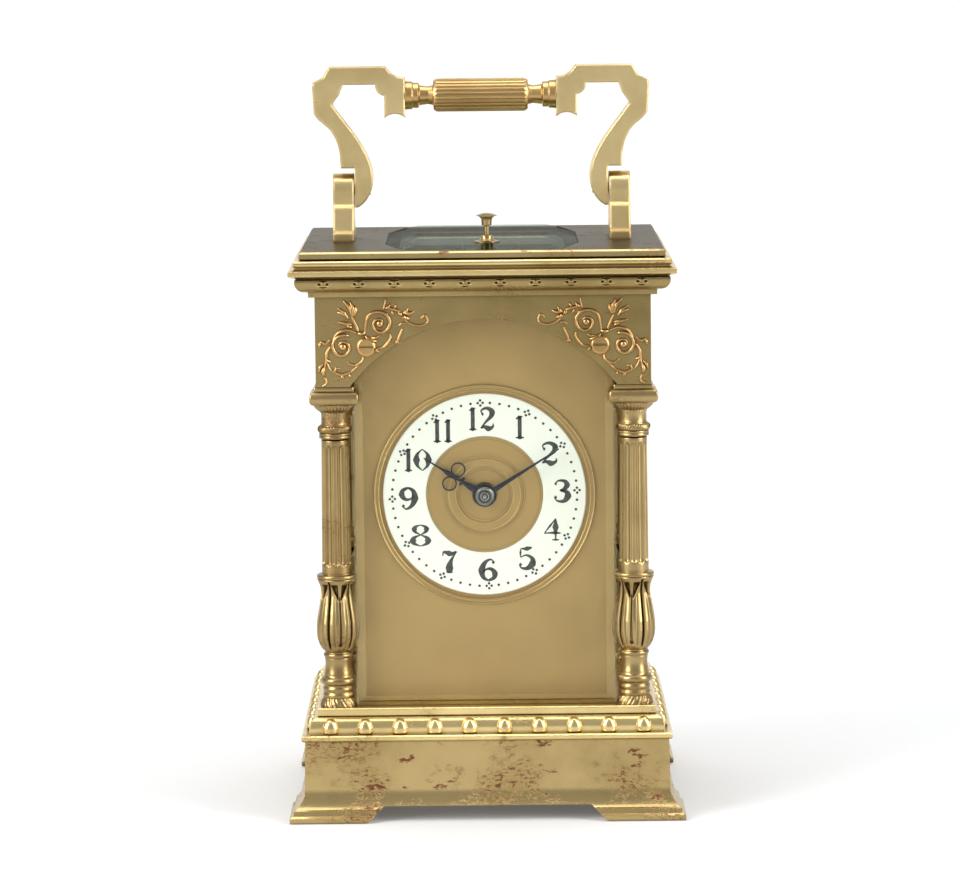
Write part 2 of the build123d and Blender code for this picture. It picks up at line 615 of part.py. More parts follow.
lobe_out = stalk_in - gap                      # outer face of an arm's lobe, beside the stalk
grip_end = 19.6
for side, hand in ((-1, "left"), (1, "right")):
    with BuildPart() as arm:
        # heights in this outline are counted from the pivot
        with BuildSketch(Plane(origin=(0, -arm_t / 2, handle_pivot_z), x_dir=(1, 0, 0), z_dir=(0, -1, 0))):
            with BuildLine():
                Polyline((side * grip_end, 29.1), (side * grip_end, 18.8))
                ThreePointArc((side * grip_end, 18.8), (side * 22.3, 19.9), (side * 25.0, 18.8))
                Polyline((side * 25.0, 18.8), (side * 25.0, 24.6))
                ThreePointArc((side * 25.0, 24.6), (side * 26.6, 25.4), (side * 27.3, 27.5))
                Polyline((side * 27.3, 27.5), (side * 35.8, 27.5), (side * 36.7, 25.0), (side * 38.6, 22.3))
                Spline((side * 38.6, 22.3), (side * 34.3, 16.5), (side * 30.3, 10.4), (side * 28.2, 3.5),
                       (side * 30.0, -2.5), (side * 32.2, -4.3))
                Polyline((side * 32.2, -4.3), (side * lobe_out, -4.3), (side * lobe_out, 5.9),
                         (side * 36.5, 5.9), (side * 36.7, 9.3))
                Spline((side * 36.7, 9.3), (side * 37.5, 12.8), (side * 39.3, 16.0), (side * 42.0, 18.4),
                       (side * 43.3, 20.2))
                Polyline((side * 43.3, 20.2), (side * 43.7, 27.3), (side * 43.5, 28.1), (side * 40.9, 29.4),
                         (side * 39.3, 32.1), (side * 24.7, 32.1), (side * 23.4, 30.4), (side * 21.8, 29.4),
                         (side * grip_end, 29.1))
            make_face()
        extrude(amount=-arm_t)
        for axis_z, radius, start, reach in ((handle_pivot_z, pivot_r, 26.0, 40.0), (grip_z, 1.6, 18.0, 22.6)):
            with BuildSketch(Plane.YZ.offset(side * start)):
                with Locations((0, axis_z)):
                    Circle(radius)
            extrude(amount=side * (reach - start), mode=Mode.SUBTRACT)
    save(arm, f"handle_arm_{hand}")

with BuildPart() as handle_grip:
    with BuildSketch(Plane.XY.offset(grip_z)):
        with BuildLine():
            Polyline((-grip_end, 1.6), (-grip_end, 3.7), (-17.8, 3.6), (-17.6, 3.3), (-16.2, 3.3), (-15.8, 2.6),
                     (-13.6, 2.3), (-grip_len / 2 - 0.4, 2.6), (-grip_len / 2 - 0.2, 3.9),
                     (-grip_len / 2 + 0.6, grip_r), (grip_len / 2 - 0.6, grip_r), (grip_len / 2 + 0.2, 3.9),
                     (grip_len / 2 + 0.4, 2.6), (13.6, 2.3), (15.8, 2.6), (16.2, 3.3), (17.6, 3.3),
                     (17.8, 3.6), (grip_end, 3.7), (grip_end, 1.6), close=True)
        make_face()
    revolve(axis=Axis((0, 0, grip_z), (1, 0, 0)))
    with BuildSketch(Plane.YZ.offset(-grip_len / 2)):
        with Locations((0, grip_z)):
            with PolarLocations(grip_r + 0.1, 24):
                Circle(0.34)
    extrude(amount=grip_len, mode=Mode.SUBTRACT)
save(handle_grip, "handle_grip")

with BuildPart() as handle_rod:
    with BuildSketch(Plane.YZ.offset(-22.6)):
        with Locations((0, grip_z)):
            Circle(1.6)
    extrude(amount=45.2)
save(handle_rod, "handle_rod")

with BuildPart() as handle_pivot_pins:
    for side in (-1, 1):
        with BuildSketch(Plane.YZ.offset(side * 28.9)):
            with Locations((0, handle_pivot_z)):
                Circle(pivot_r)
        extrude(amount=side * (stalk_in + stalk_w - 0.4 - 28.9))
save(handle_pivot_pins, "handle_pivot_pins")

# ---------------------------------------------------------------- repeat button
cap_z = roof_z + 8.4
lever_z = cornice_z - 6.0                      # the arm under the button lies here
with BuildPart() as button_collar:
    with BuildSketch(Plane.XZ):
        with BuildLine():
            Polyline((collar_bore, roof_z - glass_rebate), (collar_r, roof_z - glass_rebate),
                     (collar_r, glass_top_z), (3.2, glass_top_z), (3.2, glass_top_z + 0.35))
            ThreePointArc((3.2, glass_top_z + 0.35), (1.9, glass_top_z + 0.7), (1.5, glass_top_z + 1.7))
            Polyline((1.5, glass_top_z + 1.7), (collar_bore, glass_top_z + 1.9), (collar_bore, roof_z - glass_rebate))
        make_face()
    revolve(axis=Axis.Z)
button_collar.part.locate(Location((button_x, button_y, 0)))
save(button_collar, "button_collar")

with BuildPart() as repeat_button:
    with BuildSketch(Plane.XZ):
        with BuildLine():
            shoulder = glass_top_z + 1.9 + button_travel + gap
            Polyline((0, lever_z), (stem_r, lever_z), (stem_r, shoulder), (1.25, shoulder + 0.2),
                     (1.35, cap_z - 1.6))
            ThreePointArc((1.35, cap_z - 1.6), (1.7, cap_z - 1.1), (2.8, cap_z - 0.7))
            middle_x, middle_rise = dome_middle(2.8, 0.7)
            ThreePointArc((2.8, cap_z - 0.7), (middle_x, cap_z - 0.7 + middle_rise), (0, cap_z))
            Line((0, cap_z), (0, lever_z))
        make_face()
    revolve(axis=Axis.Z)
repeat_button.part.locate(Location((button_x, button_y, 0)))
save(repeat_button, "repeat_button")

# ---------------------------------------------------------------- movement: arbors and their places
m_barrel, m_train, m_motion, m_hour = 0.5, 0.4, 0.4, 0.32
barrel_x, barrel_z = 16.0, dial_z - 32.0
great_n, second_pinion_n, second_n, centre_pinion_n = 60, 10, 80, 16
centre_n, third_pinion_n, third_n, fourth_pinion_n = 80, 10, 75, 10
cannon_n, minute_n, minute_pinion_n, hour_n = 12, 36, 12, 48


def meeting(from_a, reach_a, from_b, reach_b, side):
    """The place that lies reach_a from one arbor and reach_b from another, on the given side."""
    dx, dz = from_b[0] - from_a[0], from_b[1] - from_a[1]
    apart = hypot(dx, dz)
    turn = side * acos((reach_a**2 + apart**2 - reach_b**2) / (2 * reach_a * apart))
    heading = atan2(dz, dx) + turn
    return (from_a[0] + reach_a * cos(heading), from_a[1] + reach_a * sin(heading))


centre_at = (0, dial_z)
barrel_at, strike_barrel_at = (barrel_x, barrel_z), (-barrel_x, barrel_z)
second_at = meeting(barrel_at, (great_n + second_pinion_n) * m_barrel / 2,
                    centre_at, (second_n + centre_pinion_n) * m_train / 2, -1)
strike_at = (-second_at[0], second_at[1])
third_at = (-9.0, dial_z + (((centre_n + third_pinion_n) * m_train / 2) ** 2 - 81.0) ** 0.5)
fourth_at = (0.0, third_at[1] + (((third_n + fourth_pinion_n) * m_train / 2) ** 2 - 81.0) ** 0.5)
minute_reach = (cannon_n + minute_n) * m_motion / 2
minute_at = (minute_reach * cos(radians(-50)), dial_z + minute_reach * sin(radians(-50)))


def tooth_wheel(at, teeth, module, first):
    """A toothed wheel's outline; 'first' is where one tooth points, in degrees from +X."""
    pitch = 360 / teeth
    root, tip = module * (teeth / 2 - 1.2), module * (teeth / 2 + 0.85)
    points = []
    for i in range(teeth):
        for turn, reach in ((-0.29, root), (-0.09, tip), (0.09, tip), (0.29, root)):
            heading = radians(first + (i + turn) * pitch)
            points.append((at[0] + reach * cos(heading), at[1] + reach * sin(heading)))
    with BuildLine() as outline:
        Polyline(*points, close=True)
    make_face(outline.edges())


def heading(start, end):
    """The direction from one arbor to another, in degrees from +X."""
    return degrees(atan2(end[1] - start[1], end[0] - start[0]))


def meshed(first, teeth, own_teeth, direction):
    """Where one tooth of a driven wheel points, so that a gap meets the driver's tooth."""
    driver_phase = ((direction - first) / (360 / teeth)) % 1
    return direction + 180 + (0.5 + driver_phase) * 360 / own_teeth


def disc(at, radius, front, back, mode=Mode.ADD):
    """A round plate or arbor from one depth to another."""
    with BuildSketch(Plane.XZ.offset(-front)) as face:
        with Locations(at):
            Circle(radius)
    extrude(face.sketch, amount=front - back, mode=mode)


def toothed(at, teeth, module, first, front, back):
    """A toothed wheel or pinion from one depth to another."""
    with BuildSketch(Plane.XZ.offset(-front)) as face:
        tooth_wheel(at, teeth, module, first)
    extrude(face.sketch, amount=front - back)


def crossings(at, outer, inner, front, back):
    """Cuts the openings between a wheel's five spokes."""
    with BuildSketch(Plane.XZ.offset(-front)) as face:
        with Locations(at):
            Circle(outer)
            Circle(inner, mode=Mode.SUBTRACT)
            with PolarLocations((outer + inner) / 2, 5):
                Rectangle(outer - inner + 4, 1.3, mode=Mode.SUBTRACT)
    extrude(face.sketch, amount=front - back, mode=Mode.SUBTRACT)


pivots = [barrel_at, strike_barrel_at, second_at, strike_at, third_at, fourth_at, minute_at]
frame_front_face = frame_front_y - frame_plate_t
frame_back_face = frame_back_y + frame_plate_t
pillar_at = [(s * (frame_half_w - 2.6), z) for s in (-1, 1) for z in (frame_bottom_z + 6.8, dial_z + 22)]
hammer_at = (-25.5, dial_z - 6.0)
steady_r = 2.0

crank_at, crank_r = (-12.0, frame_top_z - 6.0), 0.5   # the repeat lever's stud on the front plate
crank_y, crank_t = button_y - 0.2, 1.6

for name, front, back in (("movement_front_plate", frame_front_face, frame_front_y),
                          ("movement_back_plate", frame_back_y, frame_back_face)):
    with BuildPart() as plate:
        with BuildSketch(Plane.XZ.offset(-front)):
            with Locations((0, (frame_bottom_z + frame_top_z) / 2)):
                Rectangle(2 * frame_half_w, frame_top_z - frame_bottom_z)
            with Locations(*pivots, centre_at, hammer_at):
                Circle(arbor_r + fit, mode=Mode.SUBTRACT)
        extrude(amount=front - back)
        if name == "movement_front_plate":
            disc(crank_at, crank_r, crank_y - 0.6, front)
            disc(crank_at, 3 * crank_r, crank_y - 0.6, crank_y - 0.2)
    save(plate, name)

with BuildPart() as movement_pillars:
    with BuildSketch(Plane.XZ.offset(-frame_front_y)):
        with Locations(*pillar_at):
            Circle(steady_r)
    extrude(amount=-frame_plate_gap)
save(movement_pillars, "movement_pillars")

great_y, second_y, second_wheel_y = frame_back_y - 6.5, frame_back_y - 7.0, frame_front_y + 1.5
centre_wheel_y, third_wheel_y, contrate_y = -5.0, 1.0, 5.5
drum_front, drum_back = frame_front_y + 3.5, great_y - 0.5
winding_len = 5.0


def barrel(at, name, first):
    """A spring barrel on its squared arbor, with the great wheel at its back."""
    with BuildPart() as drum:
        disc(at, 12.6, drum_front, drum_back)
        disc(at, 2.4, drum_back, great_y)
        toothed(at, great_n, m_barrel, first, great_y, great_y + 1.6)
        disc(at, arbor_r, frame_front_face, frame_back_face + 0.5)
        with BuildSketch(Plane.XZ.offset(-frame_back_face - 0.5)) as square:
            with Locations(at):
                Rectangle(1.9, 1.9)
        extrude(square.sketch, amount=-winding_len)
    save(drum, name)


great_first = 3.0
barrel(barrel_at, "going_barrel", great_first)
barrel(strike_barrel_at, "strike_barrel", 180 - great_first)

second_first = meshed(great_first, great_n, second_pinion_n, heading(barrel_at, second_at))


def wheel_pair(name, at, pinion_n, pinion_m, pinion_first, pinion_y, wheel_n, wheel_m, wheel_y):
    """A train arbor with its pinion and its crossed-out wheel; both have a tooth pointing 'first'."""
    with BuildPart() as arbor:
        disc(at, arbor_r, frame_front_face, frame_back_face)
        toothed(at, pinion_n, pinion_m, pinion_first, *pinion_y)
        toothed(at, wheel_n, wheel_m, pinion_first, wheel_y, wheel_y + 1.0)
        crossings(at, wheel_m * wheel_n / 2 - 2.2, 2.6, wheel_y, wheel_y + 1.0)
    save(arbor, name)


wheel_pair("second_wheel", second_at, second_pinion_n, m_barrel, second_first, (second_y, second_y + 3.0),
           second_n, m_train, second_wheel_y)
wheel_pair("strike_wheel", strike_at, second_pinion_n, m_barrel, 180 - second_first, (second_y, second_y + 3.0),
           60, m_train, frame_back_y - 2.6)

centre_first = meshed(second_first, second_n, centre_pinion_n, heading(second_at, centre_at))
cannon_back, cannon_front = frame_front_face - 1.0, frame_front_face - 3.4
with BuildPart() as centre_arbor:
    disc(centre_at, arbor_r, minute_hand_y - hand_t, frame_back_face)
    toothed(centre_at, centre_pinion_n, m_train, centre_first, second_wheel_y - 0.8, second_wheel_y + 1.8)
    toothed(centre_at, centre_n, m_train, centre_first, centre_wheel_y, centre_wheel_y + 1.0)
    crossings(centre_at, m_train * centre_n / 2 - 2.2, 2.6, centre_wheel_y, centre_wheel_y + 1.0)
    toothed(centre_at, cannon_n, m_motion, centre_first, cannon_front, cannon_back)
    disc(centre_at, cannon_r, minute_hand_y, cannon_front)
save(centre_arbor, "centre_arbor")

third_first = meshed(centre_first, centre_n, third_pinion_n, heading(centre_at, third_at))
wheel_pair("third_wheel", third_at, third_pinion_n, m_train, third_first, (centre_wheel_y - 0.8, centre_wheel_y + 1.8),
           third_n, m_train, third_wheel_y)

fourth_first = meshed(third_first, third_n, fourth_pinion_n, heading(third_at, fourth_at))
contrate_r, contrate_n = 7.6, 60
with BuildPart() as contrate_wheel:
    disc(fourth_at, arbor_r, frame_front_face, frame_back_face)
    toothed(fourth_at, fourth_pinion_n, m_train, fourth_first, third_wheel_y - 0.8, third_wheel_y + 1.8)
    disc(fourth_at, contrate_r, contrate_y, contrate_y + 1.0)
    crossings(fourth_at, contrate_r - 1.6, 2.2, contrate_y, contrate_y + 1.0)
    with BuildSketch(Plane.XZ.offset(-contrate_y - 1.0)) as crown:
        with Locations(fourth_at):
            with PolarLocations(contrate_r - 0.5, contrate_n, start_angle=fourth_first):
                Rectangle(1.0, 0.32)
    extrude(crown.sketch, amount=-0.9)
save(contrate_wheel, "contrate_wheel")

minute_first = meshed(centre_first, cannon_n, minute_n, heading(centre_at, minute_at))
hour_wheel_front = cannon_front - 2.6
with BuildPart() as minute_wheel:
    toothed(minute_at, minute_n, m_motion, minute_first, cannon_front + 0.7, cannon_back - 0.7)
    toothed(minute_at, minute_pinion_n, m_hour, minute_first, hour_wheel_front - 0.5, cannon_front + 0.7)
    disc(minute_at, arbor_r, hour_wheel_front - 1.0, frame_front_y)
save(minute_wheel, "minute_wheel")

hour_first = meshed(minute_first, minute_pinion_n, hour_n, heading(minute_at, centre_at))
with BuildPart() as hour_wheel:
    toothed(centre_at, hour_n, m_hour, hour_first, hour_wheel_front, hour_wheel_front + 1.2)
    disc(centre_at, hour_pipe_r, hour_hand_y, hour_wheel_front)
    disc(centre_at, hour_bore, hour_hand_y, hour_wheel_front + 1.2, Mode.SUBTRACT)
save(hour_wheel, "hour_wheel")

# ---------------------------------------------------------------- platform escapement, on top of the plates
platform_z, platform_t = frame_top_z, 1.5
platform_half_w, platform_front, platform_back = 17.0, frame_front_face, frame_back_face
crown_y = contrate_y + 1.9                     # tips of the contrate wheel's teeth
escape_pinion_n, escape_n = 8, 15
escape_pitch_r = (contrate_r - 0.5) * escape_pinion_n / contrate_n
escape_y = crown_y - 0.35 + escape_pitch_r + 0.2
escape_z = platform_z + 3.0
lever_y, balance_y = escape_y - 6.0, escape_y - 13.0
balance_r, balance_z = 6.4, platform_z + 5.6
staff_r = 0.35
cock_z = balance_z + 3.4

with BuildPart() as platform:
    with BuildSketch(Plane.XY.offset(platform_z)):
        with Locations((0, (platform_front + platform_back) / 2)):
            Rectangle(2 * platform_half_w, platform_back - platform_front)
        with Locations((0, escape_y)):
            Circle(escape_pitch_r + 0.6, mode=Mode.SUBTRACT)
        with Locations((0, lever_y), (0, balance_y)):
            Circle(staff_r + fit, mode=Mode.SUBTRACT)
    extrude(amount=platform_t)
save(platform, "platform")


def pointed_wheel(at, teeth, root, tip, first, lean):
    """A small wheel or pinion in plan, with straight-sided teeth that lean by part of a pitch."""
    points = []
    for i in range(teeth):
        for turn, reach in ((-0.24, root), (-0.07 + lean, tip), (0.07 + lean, tip), (0.24, root)):
            angle = radians(first + (i + turn) * 360 / teeth)
            points.append((at[0] + reach * cos(angle), at[1] + reach * sin(angle)))
    with BuildLine() as outline:
        Polyline(*points, close=True)
    make_face(outline.edges())


escape_at = (0, escape_y)
crown_phase = ((90 - fourth_first) / (360 / contrate_n)) % 1
escape_first = -90 + (0.5 + crown_phase) * 360 / escape_pinion_n
with BuildPart() as escape_wheel:
    with BuildSketch(Plane.XY.offset(fourth_at[1] + contrate_r - 1.6)):
        pointed_wheel(escape_at, escape_pinion_n, escape_pitch_r - 0.35, escape_pitch_r + 0.2, escape_first, 0)
    extrude(amount=2.2)
    with BuildSketch(Plane.XY.offset(fourth_at[1] + contrate_r - 1.6)):
        with Locations(escape_at):
            Circle(staff_r)
    extrude(amount=escape_z + 2.4 - fourth_at[1] - contrate_r + 1.6)
    with BuildSketch(Plane.XY.offset(escape_z)):
        pointed_wheel(escape_at, escape_n, 2.5, 3.6, 0, 0.3)
    extrude(amount=0.5)
save(escape_wheel, "escape_wheel")

with BuildPart() as pallet_lever:
    with BuildSketch(Plane.XY.offset(platform_z)):
        with Locations((0, lever_y)):
            Circle(staff_r)
    extrude(amount=escape_z + 2.0 - platform_z)
    with BuildSketch(Plane.XY.offset(escape_z)):
        with Locations((0, lever_y)):
            Circle(0.9)
            Rectangle(6.4, 0.8)
        with Locations((-2.9, lever_y + 0.5), (2.9, lever_y + 0.5)):
            Rectangle(0.7, 1.0)
        with Locations((0, lever_y - 2.4)):
            Rectangle(0.8, 4.8)
        with Locations((0, lever_y - 4.9)):
            Rectangle(2.0, 0.8)
    extrude(amount=0.5)
save(pallet_lever, "pallet_lever")

with BuildPart() as balance_wheel:
    with BuildSketch(Plane.XY.offset(balance_z)):
        with Locations((0, balance_y)):
            Circle(balance_r)
            Circle(balance_r - 0.9, mode=Mode.SUBTRACT)
            Rectangle(2 * balance_r - 1.0, 1.0)
            Circle(1.2)
    extrude(amount=1.0)
    with BuildSketch(Plane.XY.offset(balance_z + 0.1)):
        with Locations((0, balance_y)):
            with PolarLocations(balance_r + 0.1, 10, start_angle=18):
                Circle(0.45)
    extrude(amount=0.8)
    with BuildSketch(Plane.XY.offset(platform_z + 0.2)):
        with Locations((0, balance_y)):
            Circle(staff_r)
    extrude(amount=cock_z + 1.0 - platform_z)
save(balance_wheel, "balance_wheel")

spring_z = balance_z + 2.1
with BuildPart() as balance_spring:
    with BuildLine(Plane.XY.offset(spring_z)) as coil:
        reach, spot = 1.0, 1.0
        for turn in range(9):
            far = -spot + (0.32 if turn % 2 else -0.32) * 1.0
            middle = (spot + far) / 2
            ThreePointArc((spot, balance_y), (middle, balance_y + (-1) ** turn * abs(spot - far) / 2),
                          (far, balance_y))
            spot = far
    with BuildSketch(Plane(origin=(1.0, balance_y, spring_z), x_dir=(1, 0, 0), z_dir=(0, 1, 0))):
        Rectangle(0.12, 0.5)
    sweep(path=coil.line)
    with BuildSketch(Plane.XY.offset(spring_z - 0.3)):
        with Locations((0, balance_y)):
            Circle(1.0)
            Circle(staff_r, mode=Mode.SUBTRACT)
    extrude(amount=0.6)
save(balance_spring, "balance_spring")

with BuildPart() as balance_cock:
    foot_x = balance_r + 4.6
    with BuildSketch(Plane.XY.offset(platform_z + platform_t)):
        with Locations((foot_x, balance_y)):
            Rectangle(5.0, 7.0)
    extrude(amount=cock_z - platform_z - platform_t)
    with BuildSketch(Plane.XY.offset(cock_z)):
        with BuildLine():
            Polyline((-2.0, balance_y - 1.4), (foot_x - 2.5, balance_y - 3.5), (foot_x + 2.5, balance_y - 3.5),
                     (foot_x + 2.5, balance_y + 3.5), (foot_x - 2.5, balance_y + 3.5), (-2.0, balance_y + 1.4))
            ThreePointArc((-2.0, balance_y + 1.4), (-3.0, balance_y), (-2.0, balance_y - 1.4))
        make_face()
        with Locations((0, balance_y)):
            Circle(staff_r + fit, mode=Mode.SUBTRACT)
    extrude(amount=1.6)
    with BuildSketch(Plane.XY.offset(platform_z + platform_t)):
        with Locations((-8.4, escape_y)):
            Rectangle(3.6, 5.0)
    extrude(amount=escape_z + 1.2 - platform_z - platform_t)
    with BuildSketch(Plane.XY.offset(escape_z + 1.2)):
        with BuildLine():
            Polyline((-10.2, escape_y - 2.5), (-1.5, escape_y - 1.4), (1.4, escape_y - 1.4), (1.4, escape_y + 1.4),
                     (-1.5, escape_y + 1.4), (-10.2, escape_y + 2.5), close=True)
            Polyline((-6.8, escape_y - 2.4), (-1.2, lever_y - 1.0), (1.2, lever_y - 1.0), (1.2, lever_y + 1.0),
                     (-3.4, escape_y + 0.6), (-8.0, escape_y + 0.6), close=True)
        make_face()
        with Locations(escape_at, (0, lever_y)):
            Circle(staff_r + fit, mode=Mode.SUBTRACT)
    extrude(amount=1.0)
save(balance_cock, "platform_cocks")

# ---------------------------------------------------------------- gong, hammer and repeat lever
gong_y, wire_r = frame_back_face + 4.0, 0.6
gong_r, gong_z, gong_pitch = 25.0, dial_z - 10.0, 1.6
block_z = column_z + 8.0
with BuildPart() as gong:
    with BuildLine(Plane.XZ.offset(-gong_y)) as wire:
        Line((gong_r, block_z - 4), (gong_r, gong_z))
        spot = gong_r
        for turn in range(5):
            far = -spot + (1 if turn % 2 == 0 else -1) * gong_pitch / 2
            rise = (1 if turn % 2 == 0 else -1) * abs(spot - far) / 2
            ThreePointArc((spot, gong_z), ((spot + far) / 2, gong_z + rise), (far, gong_z))
            spot = far
    with BuildSketch(Plane.XY.offset(block_z - 4)):
        with Locations((gong_r, gong_y)):
            Circle(wire_r)
    sweep(path=wire.line)
save(gong, "gong")

with BuildPart() as gong_block:
    with BuildSketch(Plane.XY.offset(column_z)):
        with Locations((gong_r, gong_y)):
            Rectangle(7, 6)
    extrude(amount=block_z - column_z)
    with BuildSketch(Plane.XY.offset(block_z - 4)):
        with Locations((gong_r, gong_y)):
            Circle(wire_r)
    extrude(amount=4, mode=Mode.SUBTRACT)
save(gong_block, "gong_block")

with BuildPart() as hammer:
    disc(hammer_at, arbor_r, frame_front_face, frame_back_face + 2.4)
    head_reach = gong_r + wire_r + 1.0 + 1.8   # hammer head, just clear of the outer turn
    head_at = (head_reach * cos(radians(155)), gong_z + head_reach * sin(radians(155)))
    with BuildSketch(Plane.XZ.offset(-frame_back_face - 0.6)):
        with BuildLine():
            Polyline((hammer_at[0] - 1.6, hammer_at[1] - 1.6), (hammer_at[0] + 1.6, hammer_at[1] - 1.6),
                     (head_at[0] + 0.8, head_at[1] + 1.2), (head_at[0] - 0.8, head_at[1] + 1.2), close=True)
        make_face()
    extrude(amount=-1.6)
    disc(head_at, 1.8, frame_back_face + 0.6, gong_y + 2.0)
save(hammer, "hammer")

with BuildPart() as repeat_lever:
    with BuildSketch(Plane.XZ.offset(-crank_y)):
        with BuildLine():
            top = lever_z - gap
            Polyline((crank_at[0] - 1.5, crank_at[1] - 1.5), (crank_at[0] + 1.5, crank_at[1] - 1.5),
                     (crank_at[0] + 1.5, top - 3.0), (button_x + 3.0, top - 1.6), (button_x + 3.0, top),
                     (crank_at[0] - 1.5, top), close=True)
        make_face()
    extrude(amount=-crank_t)
    disc(crank_at, crank_r + 0.7, crank_y, frame_front_face - 0.2)
    disc(crank_at, crank_r + fit, crank_y, frame_front_face - 0.2, Mode.SUBTRACT)
save(repeat_lever, "repeat_lever")
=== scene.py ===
# %% [markdown]
# A brass carriage clock, about nineteen centimetres tall with its handle up. The metal frame of the
# clock comes from its design, already in place and at its real size. This lesson adds what a maker
# would do last: turned and chased ornament, a painted dial, blued hands, and the finish of each metal.

# %% Load the frame
import bpy
import json
import math
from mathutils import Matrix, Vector

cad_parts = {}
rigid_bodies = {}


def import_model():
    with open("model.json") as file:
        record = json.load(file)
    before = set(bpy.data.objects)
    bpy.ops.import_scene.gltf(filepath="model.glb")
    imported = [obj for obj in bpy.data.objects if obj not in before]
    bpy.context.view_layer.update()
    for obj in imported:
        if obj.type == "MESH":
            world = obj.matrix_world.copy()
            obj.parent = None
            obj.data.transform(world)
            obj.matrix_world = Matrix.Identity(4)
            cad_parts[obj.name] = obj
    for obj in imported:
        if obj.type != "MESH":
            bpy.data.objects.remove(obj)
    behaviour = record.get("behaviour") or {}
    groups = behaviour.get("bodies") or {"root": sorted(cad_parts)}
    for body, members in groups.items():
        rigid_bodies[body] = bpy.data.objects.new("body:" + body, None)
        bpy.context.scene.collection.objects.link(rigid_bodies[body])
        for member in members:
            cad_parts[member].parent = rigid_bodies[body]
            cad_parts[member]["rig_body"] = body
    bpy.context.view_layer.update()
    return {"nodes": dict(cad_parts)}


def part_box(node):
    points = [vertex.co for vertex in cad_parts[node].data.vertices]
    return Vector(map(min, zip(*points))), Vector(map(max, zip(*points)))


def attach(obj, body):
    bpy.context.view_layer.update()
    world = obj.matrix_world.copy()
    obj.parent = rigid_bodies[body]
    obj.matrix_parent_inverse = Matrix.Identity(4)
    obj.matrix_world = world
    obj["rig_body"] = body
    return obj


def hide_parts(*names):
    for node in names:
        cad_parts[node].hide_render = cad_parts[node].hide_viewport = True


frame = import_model()
nodes = frame["nodes"]
body_of = {name: piece["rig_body"] for name, piece in nodes.items()}
MM = 0.001
print("nodes in the frame:", len(nodes))

# %% [markdown]
# Shader maths reads best as plain arithmetic. This wrapper holds one output socket of a node tree, and
# each operator adds the Math node that it needs, so `1 - mask * 0.4` builds two nodes and links them.

# %% Shader arithmetic
class Wire:
    """One output socket that is added, subtracted, multiplied and divided like a number."""

    def __init__(self, shade, socket):
        self.shade, self.socket = shade, socket

    def maths(self, operation, first, second=None):
        values = {0: first} if second is None else {0: first, 1: second}
        return self.shade.node("ShaderNodeMath", {"operation": operation}, values)

    def __add__(self, other):
        return self.maths("ADD", self, other)

    def __radd__(self, other):
        return self.maths("ADD", other, self)

    def __sub__(self, other):
        return self.maths("SUBTRACT", self, other)

    def __rsub__(self, other):
        return self.maths("SUBTRACT", other, self)

    def __mul__(self, other):
        return self.maths("MULTIPLY", self, other)

    def __rmul__(self, other):
        return self.maths("MULTIPLY", other, self)

    def __truediv__(self, other):
        return self.maths("DIVIDE", self, other)

    def smooth(self, low, high):
        """0 below low, 1 above high, and a soft step between them."""
        return self.shade.node("ShaderNodeMapRange", {"interpolation_type": "SMOOTHSTEP"},
                               {"Value": self, "From Min": low, "From Max": high})


class Shade:
    """A material that is built one node at a time."""

    def __init__(self, name):
        self.material = bpy.data.materials.new(name)
        self.material.use_nodes = True
        self.tree = self.material.node_tree
        self.tree.nodes.clear()

    def node(self, kind, settings=None, values=None, out=0):
        """Adds a node: its settings first, then the values or links of its sockets."""
        made = self.tree.nodes.new(kind)
        for key, setting in (settings or {}).items():
            if key == "stops":
                ramp = made.color_ramp.elements
                while len(ramp) < len(setting):
                    ramp.new(0.5)
                for stop, (place, colour) in zip(ramp, setting):
                    stop.position, stop.color = place, (*colour, 1)
            else:
                setattr(made, key, setting)
        for key, value in (values or {}).items():
            if isinstance(value, Wire):
                self.tree.links.new(value.socket, made.inputs[key])
            else:
                made.inputs[key].default_value = value
        return Wire(self, made.outputs[out])

    def place(self):
        return self.node("ShaderNodeTexCoord", out="Object")

    def noise(self, scale, detail=3.0, rough=0.5, stretch=(1, 1, 1)):
        """Noise with features about 1/scale metres across."""
        spot = self.place()
        if stretch != (1, 1, 1):
            spot = self.node("ShaderNodeMapping", None, {"Vector": spot, "Scale": stretch})
        return self.node("ShaderNodeTexNoise", None,
                         {"Vector": spot, "Scale": scale, "Detail": detail, "Roughness": rough})

    def blend(self, factor, first, second):
        """A colour between two colours."""
        return self.node("ShaderNodeMix", {"data_type": "RGBA"}, {0: factor, 6: first, 7: second}, out=2)

    def rounded(self, radius):
        return self.node("ShaderNodeBevel", {"samples": 4}, {"Radius": radius})

    def bump(self, height, depth, normal=None):
        values = {"Height": height, "Distance": depth, "Strength": 1.0}
        if normal:
            values["Normal"] = normal
        return self.node("ShaderNodeBump", None, values)

    def finish(self, surface):
        end = self.tree.nodes.new("ShaderNodeOutputMaterial")
        self.tree.links.new(surface.socket, end.inputs["Surface"])
        return self.material

    def metal(self, **sockets):
        return self.finish(self.node("ShaderNodeBsdfPrincipled", None, {
            key.replace("_", " "): value for key, value in sockets.items()}))
